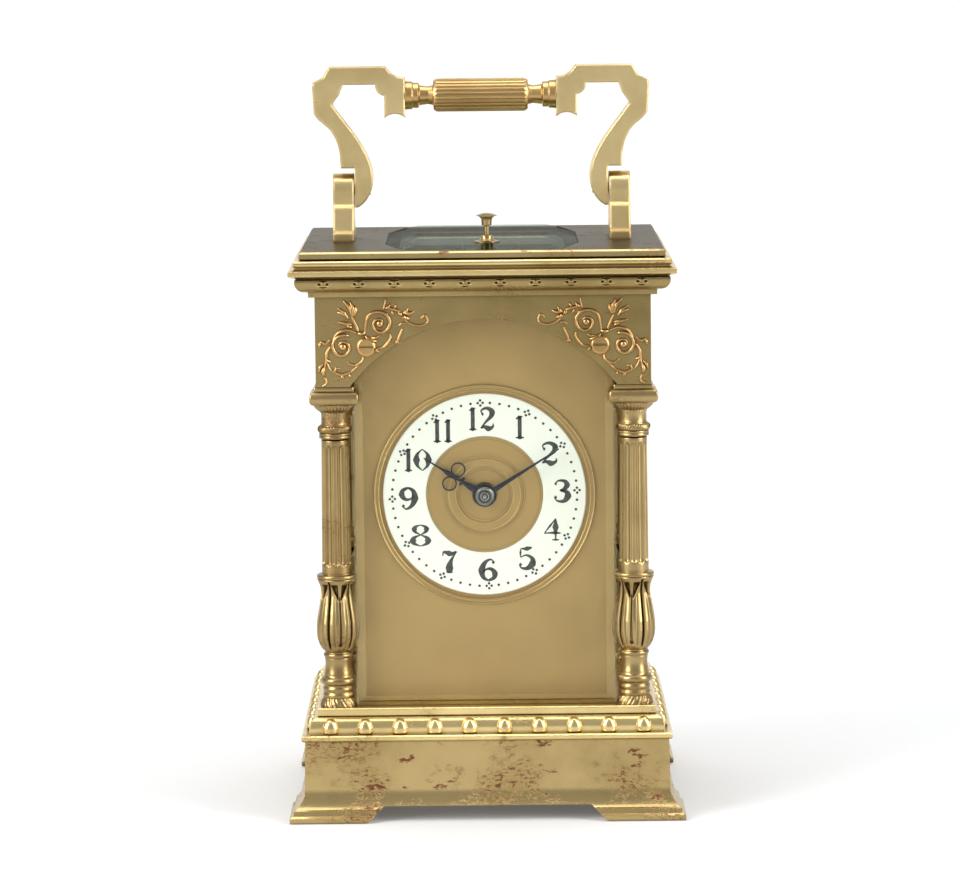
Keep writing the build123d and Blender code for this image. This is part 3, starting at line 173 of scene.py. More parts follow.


# %% [markdown]
# The case is cast and polished brass that nobody has lacquered for a century. A real surface like this
# has a pale yellow shine where hands and cloths reach, brown tarnish that collects in hollows, and
# clusters of reddish pits. Ambient occlusion darkens the hollows: partly that tarnish, partly painted
# shade. Two scales of noise place the pits, so that they come in patches, not evenly. The edges are
# softened in the shader, as polishing does.
# The top plate's upward faces are painted darker: painted shade on the faces that look up, and its metal
# reflects more dully as well.

# %% Brass finishes
def case_brass(name, tone, deep, stain, wear, rough, hollow=0.0012, edge=0.0003, painted_top_shade_and_dullness=0):
    """Polished brass: wear is how much of the surface carries reddish pits, from 0 to 1."""
    shade = Shade(name)
    cloud = shade.noise(38, 4, 0.6)
    patches = shade.noise(75, 3, 0.55).smooth(0.62 - 0.16 * wear, 0.74 - 0.14 * wear)
    pits = shade.noise(900, 5, 0.7, (1, 1, 1.9)).smooth(0.50, 0.60)
    blots = shade.noise(120, 6, 0.68, (1, 1, 2.3)).smooth(0.665 - 0.06 * wear, 0.70 - 0.06 * wear)
    stains = blots.maths("MAXIMUM", patches * pits * min(1.0, 0.35 + wear), blots * min(1.0, 0.25 + wear))
    # Ambient occlusion darkens the hollows: partly tarnish, partly painted shade.
    open_air = shade.node("ShaderNodeAmbientOcclusion", {"samples": 6}, {"Distance": hollow}, out="AO")
    tarnish_and_shade = (1 - open_air.smooth(0.25, 0.85)) * 0.8
    base = shade.blend(cloud.smooth(0.35, 0.7), tone, deep)
    tarnished_and_shaded = shade.blend(tarnish_and_shade, base, (deep[0] * 0.25, deep[1] * 0.2, deep[2] * 0.14, 1))
    colour = shade.blend(stains, tarnished_and_shaded, stain)
    # Faces that look upwards are darkened by their normal: painted shade on the top, from how light falls.
    if painted_top_shade_and_dullness:
        facing = shade.node("ShaderNodeNewGeometry", out="Normal")
        upwards = shade.node("ShaderNodeSeparateXYZ", None, {0: facing}, out="Z")
        colour = shade.blend(upwards.smooth(0.75, 0.95) * painted_top_shade_and_dullness, colour, (0.20, 0.165, 0.105, 1))
    scratches = shade.noise(700, 2, 0.6, (1, 1, 9))
    roughness = rough + cloud * 0.10 + stains * 0.35 + tarnish_and_shade * 0.2
    height = scratches * 0.25 - stains * 1.2 + cloud * 0.4
    normal = shade.bump(height, 0.00003, shade.rounded(edge))
    sheen = 1 - painted_top_shade_and_dullness * 0.75
    return shade.metal(Base_Color=colour, Metallic=1.0, Roughness=roughness, Normal=normal,
                       Specular_Tint=(sheen, sheen, sheen, 1))


STAIN = (0.17, 0.072, 0.036, 1)
polished = case_brass("polished_brass", (0.43, 0.315, 0.14, 1), (0.30, 0.205, 0.08, 1),
                      STAIN, 0.35, 0.19, 0.002)
pitted = case_brass("pitted_brass", (0.50, 0.37, 0.165, 1), (0.37, 0.265, 0.105, 1), STAIN, 0.85, 0.22)
# A much lighter copy of the case brass: painted light, so the handle's front faces look lit from the front.
painted_light_handle_brass = case_brass("painted_light_handle_brass", (0.80, 0.63, 0.31, 1), (0.62, 0.46, 0.21, 1),
                          STAIN, 0.2, 0.24, 0.0012, 0.0009)
grip_gilt = case_brass("grip_gilding", (0.50, 0.33, 0.135, 1), (0.34, 0.21, 0.08, 1), STAIN, 0.4, 0.27)
mount_gilt = case_brass("mount_gilding", (0.56, 0.345, 0.14, 1), (0.34, 0.20, 0.075, 1),
                        STAIN, 0.2, 0.24, 0.0014, 0.0001)
column_brass = case_brass("column_brass", (0.40, 0.295, 0.135, 1), (0.27, 0.185, 0.075, 1),
                          STAIN, 0.35, 0.24, 0.002, 0.0001)
# A lighter copy of the case brass: painted light on the lips, which lie partly in shadow.
painted_light_lip_brass = case_brass("painted_light_lip_brass", (0.78, 0.61, 0.285, 1), (0.60, 0.45, 0.195, 1),
                       STAIN, 0.45, 0.2, 0.0016, 0.0004)
plate_brass = case_brass("upper_plate_brass", (0.36, 0.265, 0.11, 1), (0.25, 0.18, 0.07, 1),
                         STAIN, 0.3, 0.2, 0.0022)
# Its last number paints the top plate's upward faces darker: painted shade.
top_brass = case_brass("top_plate_brass", (0.45, 0.345, 0.165, 1), (0.33, 0.25, 0.115, 1),
                       STAIN, 0.6, 0.24, 0.0012, 0.0004, 0.85)
train_brass = case_brass("movement_brass", (0.66, 0.52, 0.25, 1), (0.56, 0.43, 0.19, 1),
                         STAIN, 0.05, 0.28)


# %% [markdown]
# The mask behind the glass is gilt brass with a frosted surface: the same metal, but finely pitted all
# over before gilding, so it scatters light and looks like warm satin. A fine grain in the bump and a
# high roughness give that. Enamel is glass fused on copper: ivory white, glossy and very slightly uneven.

# %% Dial, steel and enamel finishes
def frosted_gilt(name):
    shade = Shade(name)
    cloud = shade.noise(24, 4, 0.6)
    grain = shade.noise(9000, 2, 0.6)
    colour = shade.blend(cloud.smooth(0.3, 0.75), (0.52, 0.345, 0.135, 1), (0.43, 0.28, 0.108, 1))
    colour = shade.blend(grain.smooth(0.66, 0.8) * 0.15, colour, (0.30, 0.20, 0.09, 1))
    normal = shade.bump(grain, 0.000003)
    return shade.metal(Base_Color=colour, Metallic=0.85, Roughness=0.5 + cloud * 0.1, Normal=normal)


def enamel_white(name):
    shade = Shade(name)
    cloud = shade.noise(60, 3, 0.5)
    colour = shade.blend(cloud.smooth(0.3, 0.7), (0.93, 0.925, 0.85, 1), (0.89, 0.885, 0.80, 1))
    normal = shade.bump(cloud, 0.00004)
    return shade.metal(Base_Color=colour, Metallic=0.0, Roughness=0.16 + cloud * 0.06, Normal=normal)


def worked_steel(name, tone, deep, rough):
    shade = Shade(name)
    cloud = shade.noise(160, 3, 0.5)
    grain = shade.noise(2600, 2, 0.5, (1, 1, 6))
    colour = shade.blend(cloud.smooth(0.35, 0.65), tone, deep)
    return shade.metal(Base_Color=colour, Metallic=1.0, Roughness=rough + grain * 0.1,
                       Normal=shade.bump(grain, 0.00001, shade.rounded(0.0001)))


mask_gilt = frosted_gilt("frosted_gilding")
enamel = enamel_white("ivory_enamel")
blued = worked_steel("blued_steel", (0.032, 0.036, 0.052, 1), (0.045, 0.042, 0.05, 1), 0.28)
steel = worked_steel("bright_steel", (0.62, 0.60, 0.58, 1), (0.52, 0.50, 0.49, 1), 0.16)
ink = Shade("fired_black")
ink = ink.metal(Base_Color=ink.blend(ink.noise(900).smooth(0.3, 0.7), (0.022, 0.024, 0.024, 1),
                                     (0.055, 0.058, 0.055, 1)), Roughness=0.3)

# %% [markdown]
# A thin bevelled pane is best as a mix of a clear, faintly green transparent shader and a mirror,
# mixed by Fresnel. Light then still reaches the dial, which a fully refracting pane would block.

# %% Glass
def pane_glass(name, gloss, tint=(0.965, 0.98, 0.965, 1)):
    shade = Shade(name)
    clear = shade.node("ShaderNodeBsdfTransparent", None, {"Color": tint})
    mirror = shade.node("ShaderNodeBsdfGlossy", None, {"Color": (1, 1, 1, 1), "Roughness": 0.02})
    ripple = shade.noise(35, 1, 0.4)
    edge = shade.node("ShaderNodeFresnel", None, {"IOR": 1.5, "Normal": shade.bump(ripple, 0.00008)})
    return shade.finish(shade.node("ShaderNodeMixShader", None, {0: edge * gloss, 1: clear, 2: mirror}))


glass = pane_glass("clear_glass", 0.3)
roof_glass = pane_glass("roof_glass", 0.14, (0.80, 0.87, 0.83, 1))

# %% Give every piece of the frame its finish
FINISHES = {
    pitted: ["plinth"],
    painted_light_lip_brass: ["cornice", "base_moulding", "sill_plate"],
    plate_brass: ["front_arch_plate", "rear_arch_plate", "side_arch_plates", "frieze_moulding"],
    top_brass: ["top_plate"],
    painted_light_handle_brass: ["handle_arm_left", "handle_arm_right", "handle_stalk_left", "handle_stalk_right"],
    grip_gilt: ["handle_grip", "spandrel_screws"],
    column_brass: ["button_collar", "repeat_button"],
    mask_gilt: ["dial_mask", "dial_centre"],
    enamel: ["chapter_ring"],
    glass: ["front_glass", "side_glasses", "door_glass"],
    roof_glass: ["top_glass"],
    blued: ["gong"],
    steel: ["tie_rods", "handle_rod", "handle_pivot_pins", "hammer", "pallet_lever", "repeat_lever",
            "hand_collet", "balance_spring", "door_hinge_pins", "gong_block"],
    train_brass: ["movement_front_plate", "movement_back_plate", "movement_pillars", "going_barrel",
                  "strike_barrel", "second_wheel", "third_wheel", "contrate_wheel", "strike_wheel",
                  "centre_arbor", "minute_wheel", "hour_wheel", "escape_wheel", "balance_wheel",
                  "platform", "platform_cocks"],
}
finish_of = {name: finish for finish, names in FINISHES.items() for name in names}
for name, piece in nodes.items():
    piece.data.materials.clear()
    piece.data.materials.append(finish_of.get(name, polished))
print("finishes given:", len(finish_of), "by name, the rest polished brass")


# %% [markdown]
# Every added piece is a mesh with its corners already in place, in metres. One helper makes the mesh,
# gives it its finish, and lets it ride on the body of the node it belongs to.


def add_piece(name, corners, faces, finish, node, replaces=True, smooth=True):
    """A mesh piece, with corners in millimetres, that belongs to a node of the frame."""
    mesh = bpy.data.meshes.new(name)
    mesh.from_pydata([(x * MM, y * MM, z * MM) for x, y, z in corners], [], faces)
    mesh.update()
    piece = bpy.data.objects.new(name, mesh)
    bpy.context.collection.objects.link(piece)
    mesh.materials.append(finish)
    if smooth:
        mesh.shade_smooth()
    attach(piece, body_of[node])
    if replaces:
        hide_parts(node)
    return piece


def box_mm(node):
    low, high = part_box(node)
    return Vector(low) / MM, Vector(high) / MM


def centre_mm(node):
    low, high = box_mm(node)
    return (low + high) / 2


# %% [markdown]
# Each corner column is turned, and its ornament is then chased all the way round. Such a piece is one
# grid of corners: rows go up the profile, and each row bends its radius by an angle wave. The shaft's
# wave cuts round-ended flutes, the capital's wave makes gadroons, and the bead ring leans its wave to
# look twisted. The leaf cup is a bowl of five leaves: a deep border between neighbours, a groove down
# each middle, and two openings under the rolled lip that meet in a V. Flats are cut last, for the
# panes and the door.

# %% The columns
COLUMN_X, COLUMN_Y = 38.0, 31.8
ABACUS_HALF = 6.2
AROUND = 288


def wave(angle, count):
    """1 at each of count places around the column, and 0 half-way between them."""
    return 0.5 + 0.5 * math.cos(count * angle)


def soft(value, low, high):
    """A smooth step from 0 at low to 1 at high."""
    share = min(1.0, max(0.0, (value - low) / (high - low)))
    return share * share * (3 - 2 * share)


def arc_rows(first_z, last_z, base, bulge, steps=7):
    """Rows of a half-round ring: height and radius."""
    rows = []
    for i in range(steps):
        turn = math.pi * i / (steps - 1)
        rows.append((first_z + (last_z - first_z) * (1 - math.cos(turn)) / 2, base + bulge * math.sin(turn)))
    return rows


def plain(radius):
    return lambda angle, z: radius


def flute(angle, z, low, high, radius):
    """A round-ended hollow: deepest at its middle, with its ends closed by a half circle."""
    half = radius * math.pi / 12 * 0.82
    side = abs(((angle * 12 / (2 * math.pi) + 0.5) % 1) - 0.5) * 2 * math.pi / 12 * radius
    over = max(low + half - z, z - high + half, 0)
    inside = 1 - (side * side + over * over) / (half * half)
    return 0.62 * math.sqrt(inside) if inside > 0 else 0.0


CUP_SHAPE = [(42.4, 3.35), (42.9, 3.9), (43.6, 4.5), (44.6, 4.98), (46.0, 5.45), (47.6, 5.62), (50.0, 5.55),
             (52.6, 5.15), (55.0, 4.7), (57.3, 4.35), (59.0, 4.45), (60.2, 4.85), (61.2, 5.1), (61.9, 5.1)]


def cup_radius(z):
    for (low, first), (high, last) in zip(CUP_SHAPE, CUP_SHAPE[1:]):
        if z <= high:
            share = max(0.0, (z - low) / (high - low))
            return first + (last - first) * share
    return CUP_SHAPE[-1][1]


def leaf_cup(angle, z):
    """Five broad leaves side by side: deep borders, a middle groove, and openings below the lip."""
    radius = cup_radius(z)
    leaf = abs(((angle * 5 / (2 * math.pi) + 0.611) % 1) - 0.5) * 2
    body = soft(z, 42.6, 44.5) * (1 - soft(z, 60.4, 61.2))
    radius -= 0.42 * leaf * leaf * body
    radius -= 0.95 * soft(leaf, 0.86, 0.99) * body
    radius -= 0.3 * (1 - soft(abs(leaf - 0.5), 0.02, 0.1)) * body * (1 - soft(z, 52.0, 58.0))
    radius -= 0.6 * (1 - soft(leaf, 0.03, 0.11)) * soft(z, 44.8, 45.8) * (1 - soft(z, 56.4, 57.4))
    radius -= 0.8 * (1 - soft(math.hypot(leaf * 3.6, z - 44.7), 0.35, 0.65))
    reach = (z - 55.6) / 4.7
    if 0 < reach < 1:
        inner, outer = 0.12 + 0.1 * reach, 0.06 + 0.84 * reach
        opening = soft(leaf, inner - 0.05, inner + 0.06) * (1 - soft(leaf, outer - 0.08, outer + 0.06))
        radius -= 1.35 * opening * (1 - soft(reach, 0.84, 1.0))
    return radius


def column_rows():
    rows = []

    def ring(first_z, last_z, base, bulge, shape=None, steps=7):
        for z, radius in arc_rows(first_z, last_z, base, bulge, steps):
            rows.append((z, shape(radius) if shape else plain(radius)))

    def straight(*pairs):
        for z, radius in pairs:
            rows.append((z, plain(radius)))

    def notched(radius):
        return lambda angle, z: radius - 0.16 * (1 - wave(angle + 0.12 * (z - 28.5), 26))

    straight((28.4, 4.7))
    for i in range(7):
        share = i / 6
        radius = 4.75 - 0.85 * share * share
        rows.append((28.45 + 2.0 * share, notched(radius)))
    straight((30.6, 3.9), (30.75, 4.05), (31.6, 4.05), (31.75, 3.85), (32.3, 3.85), (32.4, 4.0),
             (33.2, 4.0), (33.35, 3.8), (33.9, 3.8))
    ring(34.0, 35.8, 4.0, 0.55)
    straight((35.9, 3.75), (36.5, 3.7))
    for i in range(9):
        share = i / 8
        straight((36.6 + 4.2 * share, 3.7 - 0.35 * math.sin(math.pi * share * 0.8)))
    ring(41.0, 42.1, 3.4, 0.4)
    for i in range(97):
        rows.append((42.35 + 19.0 * i / 96, leaf_cup))
    ring(61.4, 62.5, 4.85, 0.35)
    straight((62.55, 4.3), (62.6, 3.85))
    for i in range(131):
        z = 62.7 + (101.0 - 62.7) * i / 130
        taper = 3.85 - 0.35 * (z - 62.7) / 38.3
        rows.append((z, lambda angle, height, r=taper: r - flute(angle, height, 65.0, 95.9, r)))
    straight((101.0, 3.5))
    return rows


def capital_rows():
    rows = []

    def straight(*pairs):
        for z, radius in pairs:
            rows.append((z, plain(radius)))

    straight((97.5, 3.62), (97.6, 4.05), (98.2, 4.05), (98.3, 3.8), (98.45, 4.05), (98.85, 4.05),
             (98.95, 3.85))
    for i in range(9):
        turn = math.pi * i / 8
        bulge = math.sin(turn)
        z = 99.0 + 1.8 * (1 - math.cos(turn)) / 2
        rows.append((z, lambda angle, height, b=bulge: 3.75 + b * (0.3 + 0.42 * wave(
            angle + 0.16 * (height - 99.9), 38) ** 0.6)))
    straight((100.9, 3.8), (101.0, 3.55), (101.6, 3.45), (103.6, 3.45), (104.2, 3.6))
    for i in range(9):
        share = i / 8
        radius = 3.75 + 1.65 * math.sin(share * math.pi / 2)
        rows.append((104.3 + 1.9 * share,
                     lambda angle, height, r=radius: r - 0.34 * (1 - wave(angle, 34) ** 0.7)))
    straight((106.3, 5.3), (106.6, 5.3), (106.65, 4.6))
    return rows


def band_faces(rows, around):
    """Faces between neighbouring rings of corners, each ring with as many corners as the next."""
    faces = []
    for row in range(rows - 1):
        for i in range(around):
            j = (i + 1) % around
            faces.append((row * around + i, row * around + j, (row + 1) * around + j, (row + 1) * around + i))
    return faces


def turned_mesh(rows, around):
    """Corners and faces of a turned piece: one closed ring of corners for each row."""
    corners = []
    for z, shape in rows:
        for i in range(around):
            angle = 2 * math.pi * i / around
            radius = shape(angle, z)
            corners.append([radius * math.cos(angle), radius * math.sin(angle), z])
    faces = band_faces(len(rows), around)
    faces.append(tuple(range(around))[::-1])
    faces.append(tuple(range((len(rows) - 1) * around, len(rows) * around)))
    return corners, faces


def pillow(half, low, high, edge=0.5):
    """A square slab with softly rounded edges, as stacked rounded squares."""
    corners = []
    levels = [(low, edge), (low + edge * 0.3, edge * 0.35), (low + edge, 0), (high - edge, 0),
              (high - edge * 0.3, edge * 0.35), (high, edge)]
    for z, inset in levels:
        reach = half - inset
        for sx, sy in ((1, 1), (-1, 1), (-1, -1), (1, -1)):
            for step in range(4):
                turn = math.radians(step * 30) + math.atan2(sy, sx) - math.pi / 4
                corners.append([sx * (reach - 0.4) + 0.4 * math.cos(turn),
                                sy * (reach - 0.4) + 0.4 * math.sin(turn), z])
    count = 16
    faces = band_faces(len(levels), count)
    faces.append(tuple(range(count))[::-1])
    faces.append(tuple(range((len(levels) - 1) * count, len(levels) * count)))
    return corners, faces


def joined(*meshes):
    """Several meshes as one list of corners and one list of faces."""
    corners, faces = [], []
    for more_corners, more_faces in meshes:
        start = len(corners)
        corners += more_corners
        faces += [tuple(start + i for i in face) for face in more_faces]
    return corners, faces


column_mesh = joined(turned_mesh([row for row in column_rows() if row[0] <= 97.4], AROUND),
                     turned_mesh(capital_rows(), AROUND),
                     pillow(ABACUS_HALF, 106.4, 109.9, 1.0), pillow(ABACUS_HALF - 1.1, 109.8, 111.1, 0.2))
print("corners in a column:", len(column_mesh[0]))
for side_x, hand in ((-1, "left"), (1, "right")):
    for side_y, row in ((-1, "front"), (1, "rear")):
        node = f"column_{row}_{hand}"
        low, high = box_mm(node)
        at_x, at_y = side_x * COLUMN_X, side_y * COLUMN_Y
        corners = [(min(max(-side_x * x + at_x, low.x), high.x), min(max(y + at_y, low.y), high.y),
                    min(max(z, low.z), high.z)) for x, y, z in column_mesh[0]]
        faces = column_mesh[1] if side_x < 0 else [face[::-1] for face in column_mesh[1]]
        add_piece(f"{node}_chased", corners, faces, column_brass, node)


# %% [markdown]
# The dial's black figures are painted with a brush: a stroke swells where it is pressed and thins
# towards its ends. Here each stroke is a short flat piece with its own widths along its length,
# laid on the enamel by a whisker. One list of strokes per figure keeps the style the same all round.

# %% The painted figures
DIAL_Z = centre_mm("chapter_ring").z
RING_FRONT = box_mm("chapter_ring")[0].y
DIAL_TURN = -2.2


def on_dial(clock_angle, reach):
    """A point on the dial, clockwise from twelve, as (x, z)."""
    turn = math.radians(clock_angle)
    return reach * math.sin(turn), DIAL_Z + reach * math.cos(turn)


def ribbon(points, widths, front, back=None):
    """A flat stroke facing the front: corners down both sides of a path, with a back if it is thick."""
    corners, faces = [], []
    for i, (x, z) in enumerate(points):
        before, after = points[max(i - 1, 0)], points[min(i + 1, len(points) - 1)]
        along = Vector((after[0] - before[0], after[1] - before[1])).normalized()
        half = widths[i] / 2
        corners.append((x - along.y * half, front, z + along.x * half))
        corners.append((x + along.y * half, front, z - along.x * half))
    count = len(corners)
    for i in range(0, count - 2, 2):
        faces.append((i, i + 1, i + 3, i + 2))
    if back is not None:
        corners += [(x, back, z) for x, y, z in corners]
        for i in range(0, count - 2, 2):
            faces.append((count + i, count + i + 2, count + i + 3, count + i + 1))
            faces.append((i, i + 2, count + i + 2, count + i))
            faces.append((i + 1, count + i + 1, count + i + 3, i + 3))
        faces += [(0, count, count + 1, 1), (count - 2, count - 1, 2 * count - 1, 2 * count - 2)]
    return corners, faces


def smooth_path(points, steps=8):
    """A Catmull-Rom path through the points."""
    path = []
    for i in range(len(points) - 1):
        p0, p1 = points[max(i - 1, 0)], points[i]
        p2, p3 = points[i + 1], points[min(i + 2, len(points) - 1)]
        for step in range(steps):
            t = step / steps
            path.append(tuple(0.5 * (2 * b + (c - a) * t + (2 * a - 5 * b + 4 * c - d) * t * t
                                     + (3 * b - a - 3 * c + d) * t ** 3)
                              for a, b, c, d in zip(p0, p1, p2, p3)))
    path.append(tuple(points[-1]))
    return path


def swelling(count, thin, thick, peak=0.5, sharp=2.2):
    """Widths along a stroke: thin at its ends and thick near its peak, or even where it has no peak."""
    if peak is None:
        return [thick] * count
    widths = []
    for i in range(count):
        share = i / max(count - 1, 1)
        near = 1 - abs(share - peak) / max(peak, 1 - peak)
        widths.append(thin + (thick - thin) * max(0.0, near) ** sharp)
    return widths


# Figures in a box one unit high, centred on (0, 0): (points, thickest width, where it is thickest).
FIGURES = {
    "0": [([(0, 0.5), (-0.22, 0.28), (-0.27, 0), (-0.22, -0.28), (0, -0.5)], 0.24, 0.5),
          ([(0, 0.5), (0.22, 0.28), (0.27, 0), (0.22, -0.28), (0, -0.5)], 0.24, 0.5)],
    "1": [([(0, 0.5), (0, 0.25), (0, 0), (0, -0.25), (0, -0.5)], 0.13, None),
          ([(-0.16, 0.38), (-0.02, 0.47), (0.12, 0.5)], 0.12, 0.5),
          ([(-0.17, -0.49), (0.17, -0.49)], 0.13, 0.5)],
    "2": [([(-0.22, 0.22), (-0.24, 0.4), (0, 0.5), (0.23, 0.36), (0.2, 0.12), (-0.02, -0.12),
            (-0.26, -0.42)], 0.2, 0.55),
          ([(-0.28, -0.44), (-0.1, -0.38), (0.1, -0.46), (0.28, -0.36), (0.28, -0.22)], 0.2, 0.45),
          ([(-0.24, 0.22), (-0.14, 0.22)], 0.14, 0.5)],
    "3": [([(-0.24, 0.34), (-0.1, 0.48), (0.14, 0.46), (0.24, 0.28), (0.12, 0.08),
            (-0.04, 0.03)], 0.2, 0.6),
          ([(-0.04, 0.03), (0.2, -0.04), (0.27, -0.24), (0.12, -0.47), (-0.14, -0.47),
            (-0.27, -0.3)], 0.24, 0.4),
          ([(-0.26, 0.34), (-0.16, 0.34)], 0.13, 0.5), ([(-0.28, -0.3), (-0.16, -0.3)], 0.14, 0.5)],
    "4": [([(0.12, 0.5), (0.12, 0.2), (0.12, -0.1), (0.12, -0.5)], 0.22, 0.45),
          ([(0.12, 0.48), (-0.1, 0.16), (-0.32, -0.17)], 0.07, 0.5),
          ([(-0.34, -0.19), (0, -0.17), (0.32, -0.19)], 0.1, 0.6),
          ([(-0.02, -0.5), (0.26, -0.5)], 0.08, 0.5)],
    "5": [([(-0.2, 0.46), (0, 0.44), (0.24, 0.5)], 0.16, 0.6),
          ([(-0.2, 0.46), (-0.22, 0.25), (-0.22, 0.04)], 0.07, 0.5),
          ([(-0.22, 0.04), (0.02, 0.14), (0.25, -0.02), (0.25, -0.28), (0.05, -0.48),
            (-0.18, -0.46), (-0.27, -0.3)], 0.24, 0.5),
          ([(-0.28, -0.3), (-0.16, -0.3)], 0.14, 0.5)],
    "6": [([(0.24, 0.38), (0.08, 0.5), (-0.14, 0.34), (-0.26, 0), (-0.2, -0.34), (0, -0.5)], 0.24, 0.6),
          ([(0, -0.5), (0.22, -0.36), (0.25, -0.12), (0.08, 0.06), (-0.14, 0),
            (-0.24, -0.16)], 0.2, 0.35),
          ([(0.14, 0.36), (0.26, 0.36)], 0.14, 0.5)],
    "7": [([(-0.28, 0.28), (-0.24, 0.46), (-0.08, 0.42), (0.08, 0.38), (0.28, 0.48)], 0.2, 0.6),
          ([(0.28, 0.48), (0.1, 0.16), (0, -0.14), (-0.02, -0.5)], 0.26, 0.8),
          ([(-0.14, -0.5), (0.12, -0.5)], 0.07, 0.5)],
    "8": [([(0, 0.5), (-0.2, 0.4), (-0.22, 0.2), (0, 0.03)], 0.2, 0.5),
          ([(0, 0.5), (0.2, 0.4), (0.22, 0.2), (0, 0.03)], 0.2, 0.5),
          ([(0, 0.03), (-0.26, -0.12), (-0.26, -0.36), (0, -0.5)], 0.24, 0.5),
          ([(0, 0.03), (0.26, -0.12), (0.26, -0.36), (0, -0.5)], 0.24, 0.5)],
    "9": [([(-0.24, -0.38), (-0.08, -0.5), (0.14, -0.34), (0.26, 0), (0.2, 0.34), (0, 0.5)], 0.24, 0.6),
          ([(0, 0.5), (-0.22, 0.36), (-0.25, 0.12), (-0.08, -0.06), (0.14, 0),
            (0.24, 0.16)], 0.2, 0.35),
          ([(-0.26, -0.36), (-0.14, -0.36)], 0.14, 0.5)],
}


def figure(digit, middle_x, middle_z, tall, wide, front):
    """The strokes of one digit, as thin ink pieces."""
    pieces = []
    for points, thick, peak in FIGURES[digit]:
        placed = [(middle_x + x * wide, middle_z + z * tall) for x, z in points]
        path = smooth_path(placed, 8) if len(placed) > 2 else placed
        if len(path) == 2:
            path = [tuple(a + (b - a) * i / 4 for a, b in zip(*path)) for i in range(5)]
        pieces.append(ribbon(path, swelling(len(path), 0.26, thick * tall * 1.4, peak, 1.7), front))
    return joined(*pieces)


def disc(x, z, radius, front, sides=20):
    """A round dot."""
    turns = [2 * math.pi * i / sides for i in range(sides)]
    ring = [(x + radius * math.cos(turn), front, z + radius * math.sin(turn)) for turn in turns]
    return ring, [tuple(range(sides))]


def circle_line(radius, width, front, sides=160):
    """A thin flat circle about the dial's axis."""
    corners, faces = [], []
    for i in range(sides):
        x, z = math.sin(2 * math.pi * i / sides), math.cos(2 * math.pi * i / sides)
        corners += [((radius - width / 2) * x, front, DIAL_Z + (radius - width / 2) * z),
                    ((radius + width / 2) * x, front, DIAL_Z + (radius + width / 2) * z)]
        j = (i + 1) % sides
        faces.append((2 * i, 2 * i + 1, 2 * j + 1, 2 * j))
    return corners, faces


INK_FRONT = RING_FRONT - 0.04
painted = []
for hour in range(1, 13):
    x, z = on_dial(hour * 30 + DIAL_TURN, 19.6)
    text = str(hour)
    if len(text) == 1:
        painted.append(figure(text, x, z, 5.5, 6.4, INK_FRONT))
    else:
        gap = 1.55 if text == "11" else 1.85
        painted.append(figure("1", x - gap - (0.25 if text != "11" else 0), z, 5.5, 5.6, INK_FRONT))
        painted.append(figure(text[1], x + gap * 0.8, z, 5.5, 5.6, INK_FRONT))
for minute in range(60):
    x, z = on_dial(minute * 6 + DIAL_TURN, 23.7)
    if minute % 5:
        painted.append(disc(x, z, 0.34, INK_FRONT))
    else:
        for angle, reach in ((0, 24.35), (0, 23.05), (1.55, 23.7), (-1.55, 23.7)):
            dot_x, dot_z = on_dial(minute * 6 + DIAL_TURN + angle, reach)
            painted.append(disc(dot_x, dot_z, 0.33, INK_FRONT))
add_piece("painted_figures", *joined(*painted), ink, "chapter_ring", replaces=False, smooth=False)
print("strokes and dots painted:", len(painted))

# %% [markdown]
# The hands are cut from thin steel with a fret saw, filed, polished and then heated until they turn
# blue. The hour hand has a spear, a small cross bar and two open loops; the minute hand is plain.

# %% The hands
def outline_plate(half_widths, clock_angle, front, back):
    """A long plate that points one way: pairs of (reach, half width), with a crowned face."""
    turn = math.radians(clock_angle)
    along, across = Vector((math.sin(turn), math.cos(turn))), Vector((math.cos(turn), -math.sin(turn)))
    corners, faces = [], []
    for reach, half in half_widths:
        for share, y in ((-1, back), (-1, front + 0.12), (0, front), (1, front + 0.12), (1, back)):
            point = along * reach + across * half * share
            corners.append((point.x, y, DIAL_Z + point.y))
    for i in range(len(half_widths) - 1):
        for k in range(5):
            a, b = i * 5 + k, i * 5 + (k + 1) % 5
            faces.append((a, b, b + 5, a + 5))
    faces += [(0, 1, 2, 3, 4), tuple(range(len(corners) - 5, len(corners)))[::-1]]
    return corners, faces


def round_plate(x, z, outer, inner, front, back, sides=48):
    """A flat ring."""
    corners, faces = [], []
    for i in range(sides):
        turn = 2 * math.pi * i / sides
        c, s = math.cos(turn), math.sin(turn)
        corners += [(x + inner * c, front, z + inner * s), (x + outer * c, front, z + outer * s),
                    (x + outer * c, back, z + outer * s), (x + inner * c, back, z + inner * s)]
        j = 4 * ((i + 1) % sides)
        i4 = 4 * i
        for k in range(4):
            faces.append((i4 + k, i4 + (k + 1) % 4, j + (k + 1) % 4, j + k))
    return corners, faces


def hand_angle(node):
    """The way a hand points at rest, clockwise from twelve, from its farthest corner."""
    far = max((v.co for v in nodes[node].data.vertices), key=lambda c: math.hypot(c.x, c.z - DIAL_Z * MM))
    return math.degrees(math.atan2(far.x, far.z - DIAL_Z * MM)), math.hypot(far.x, far.z - DIAL_Z * MM) / MM


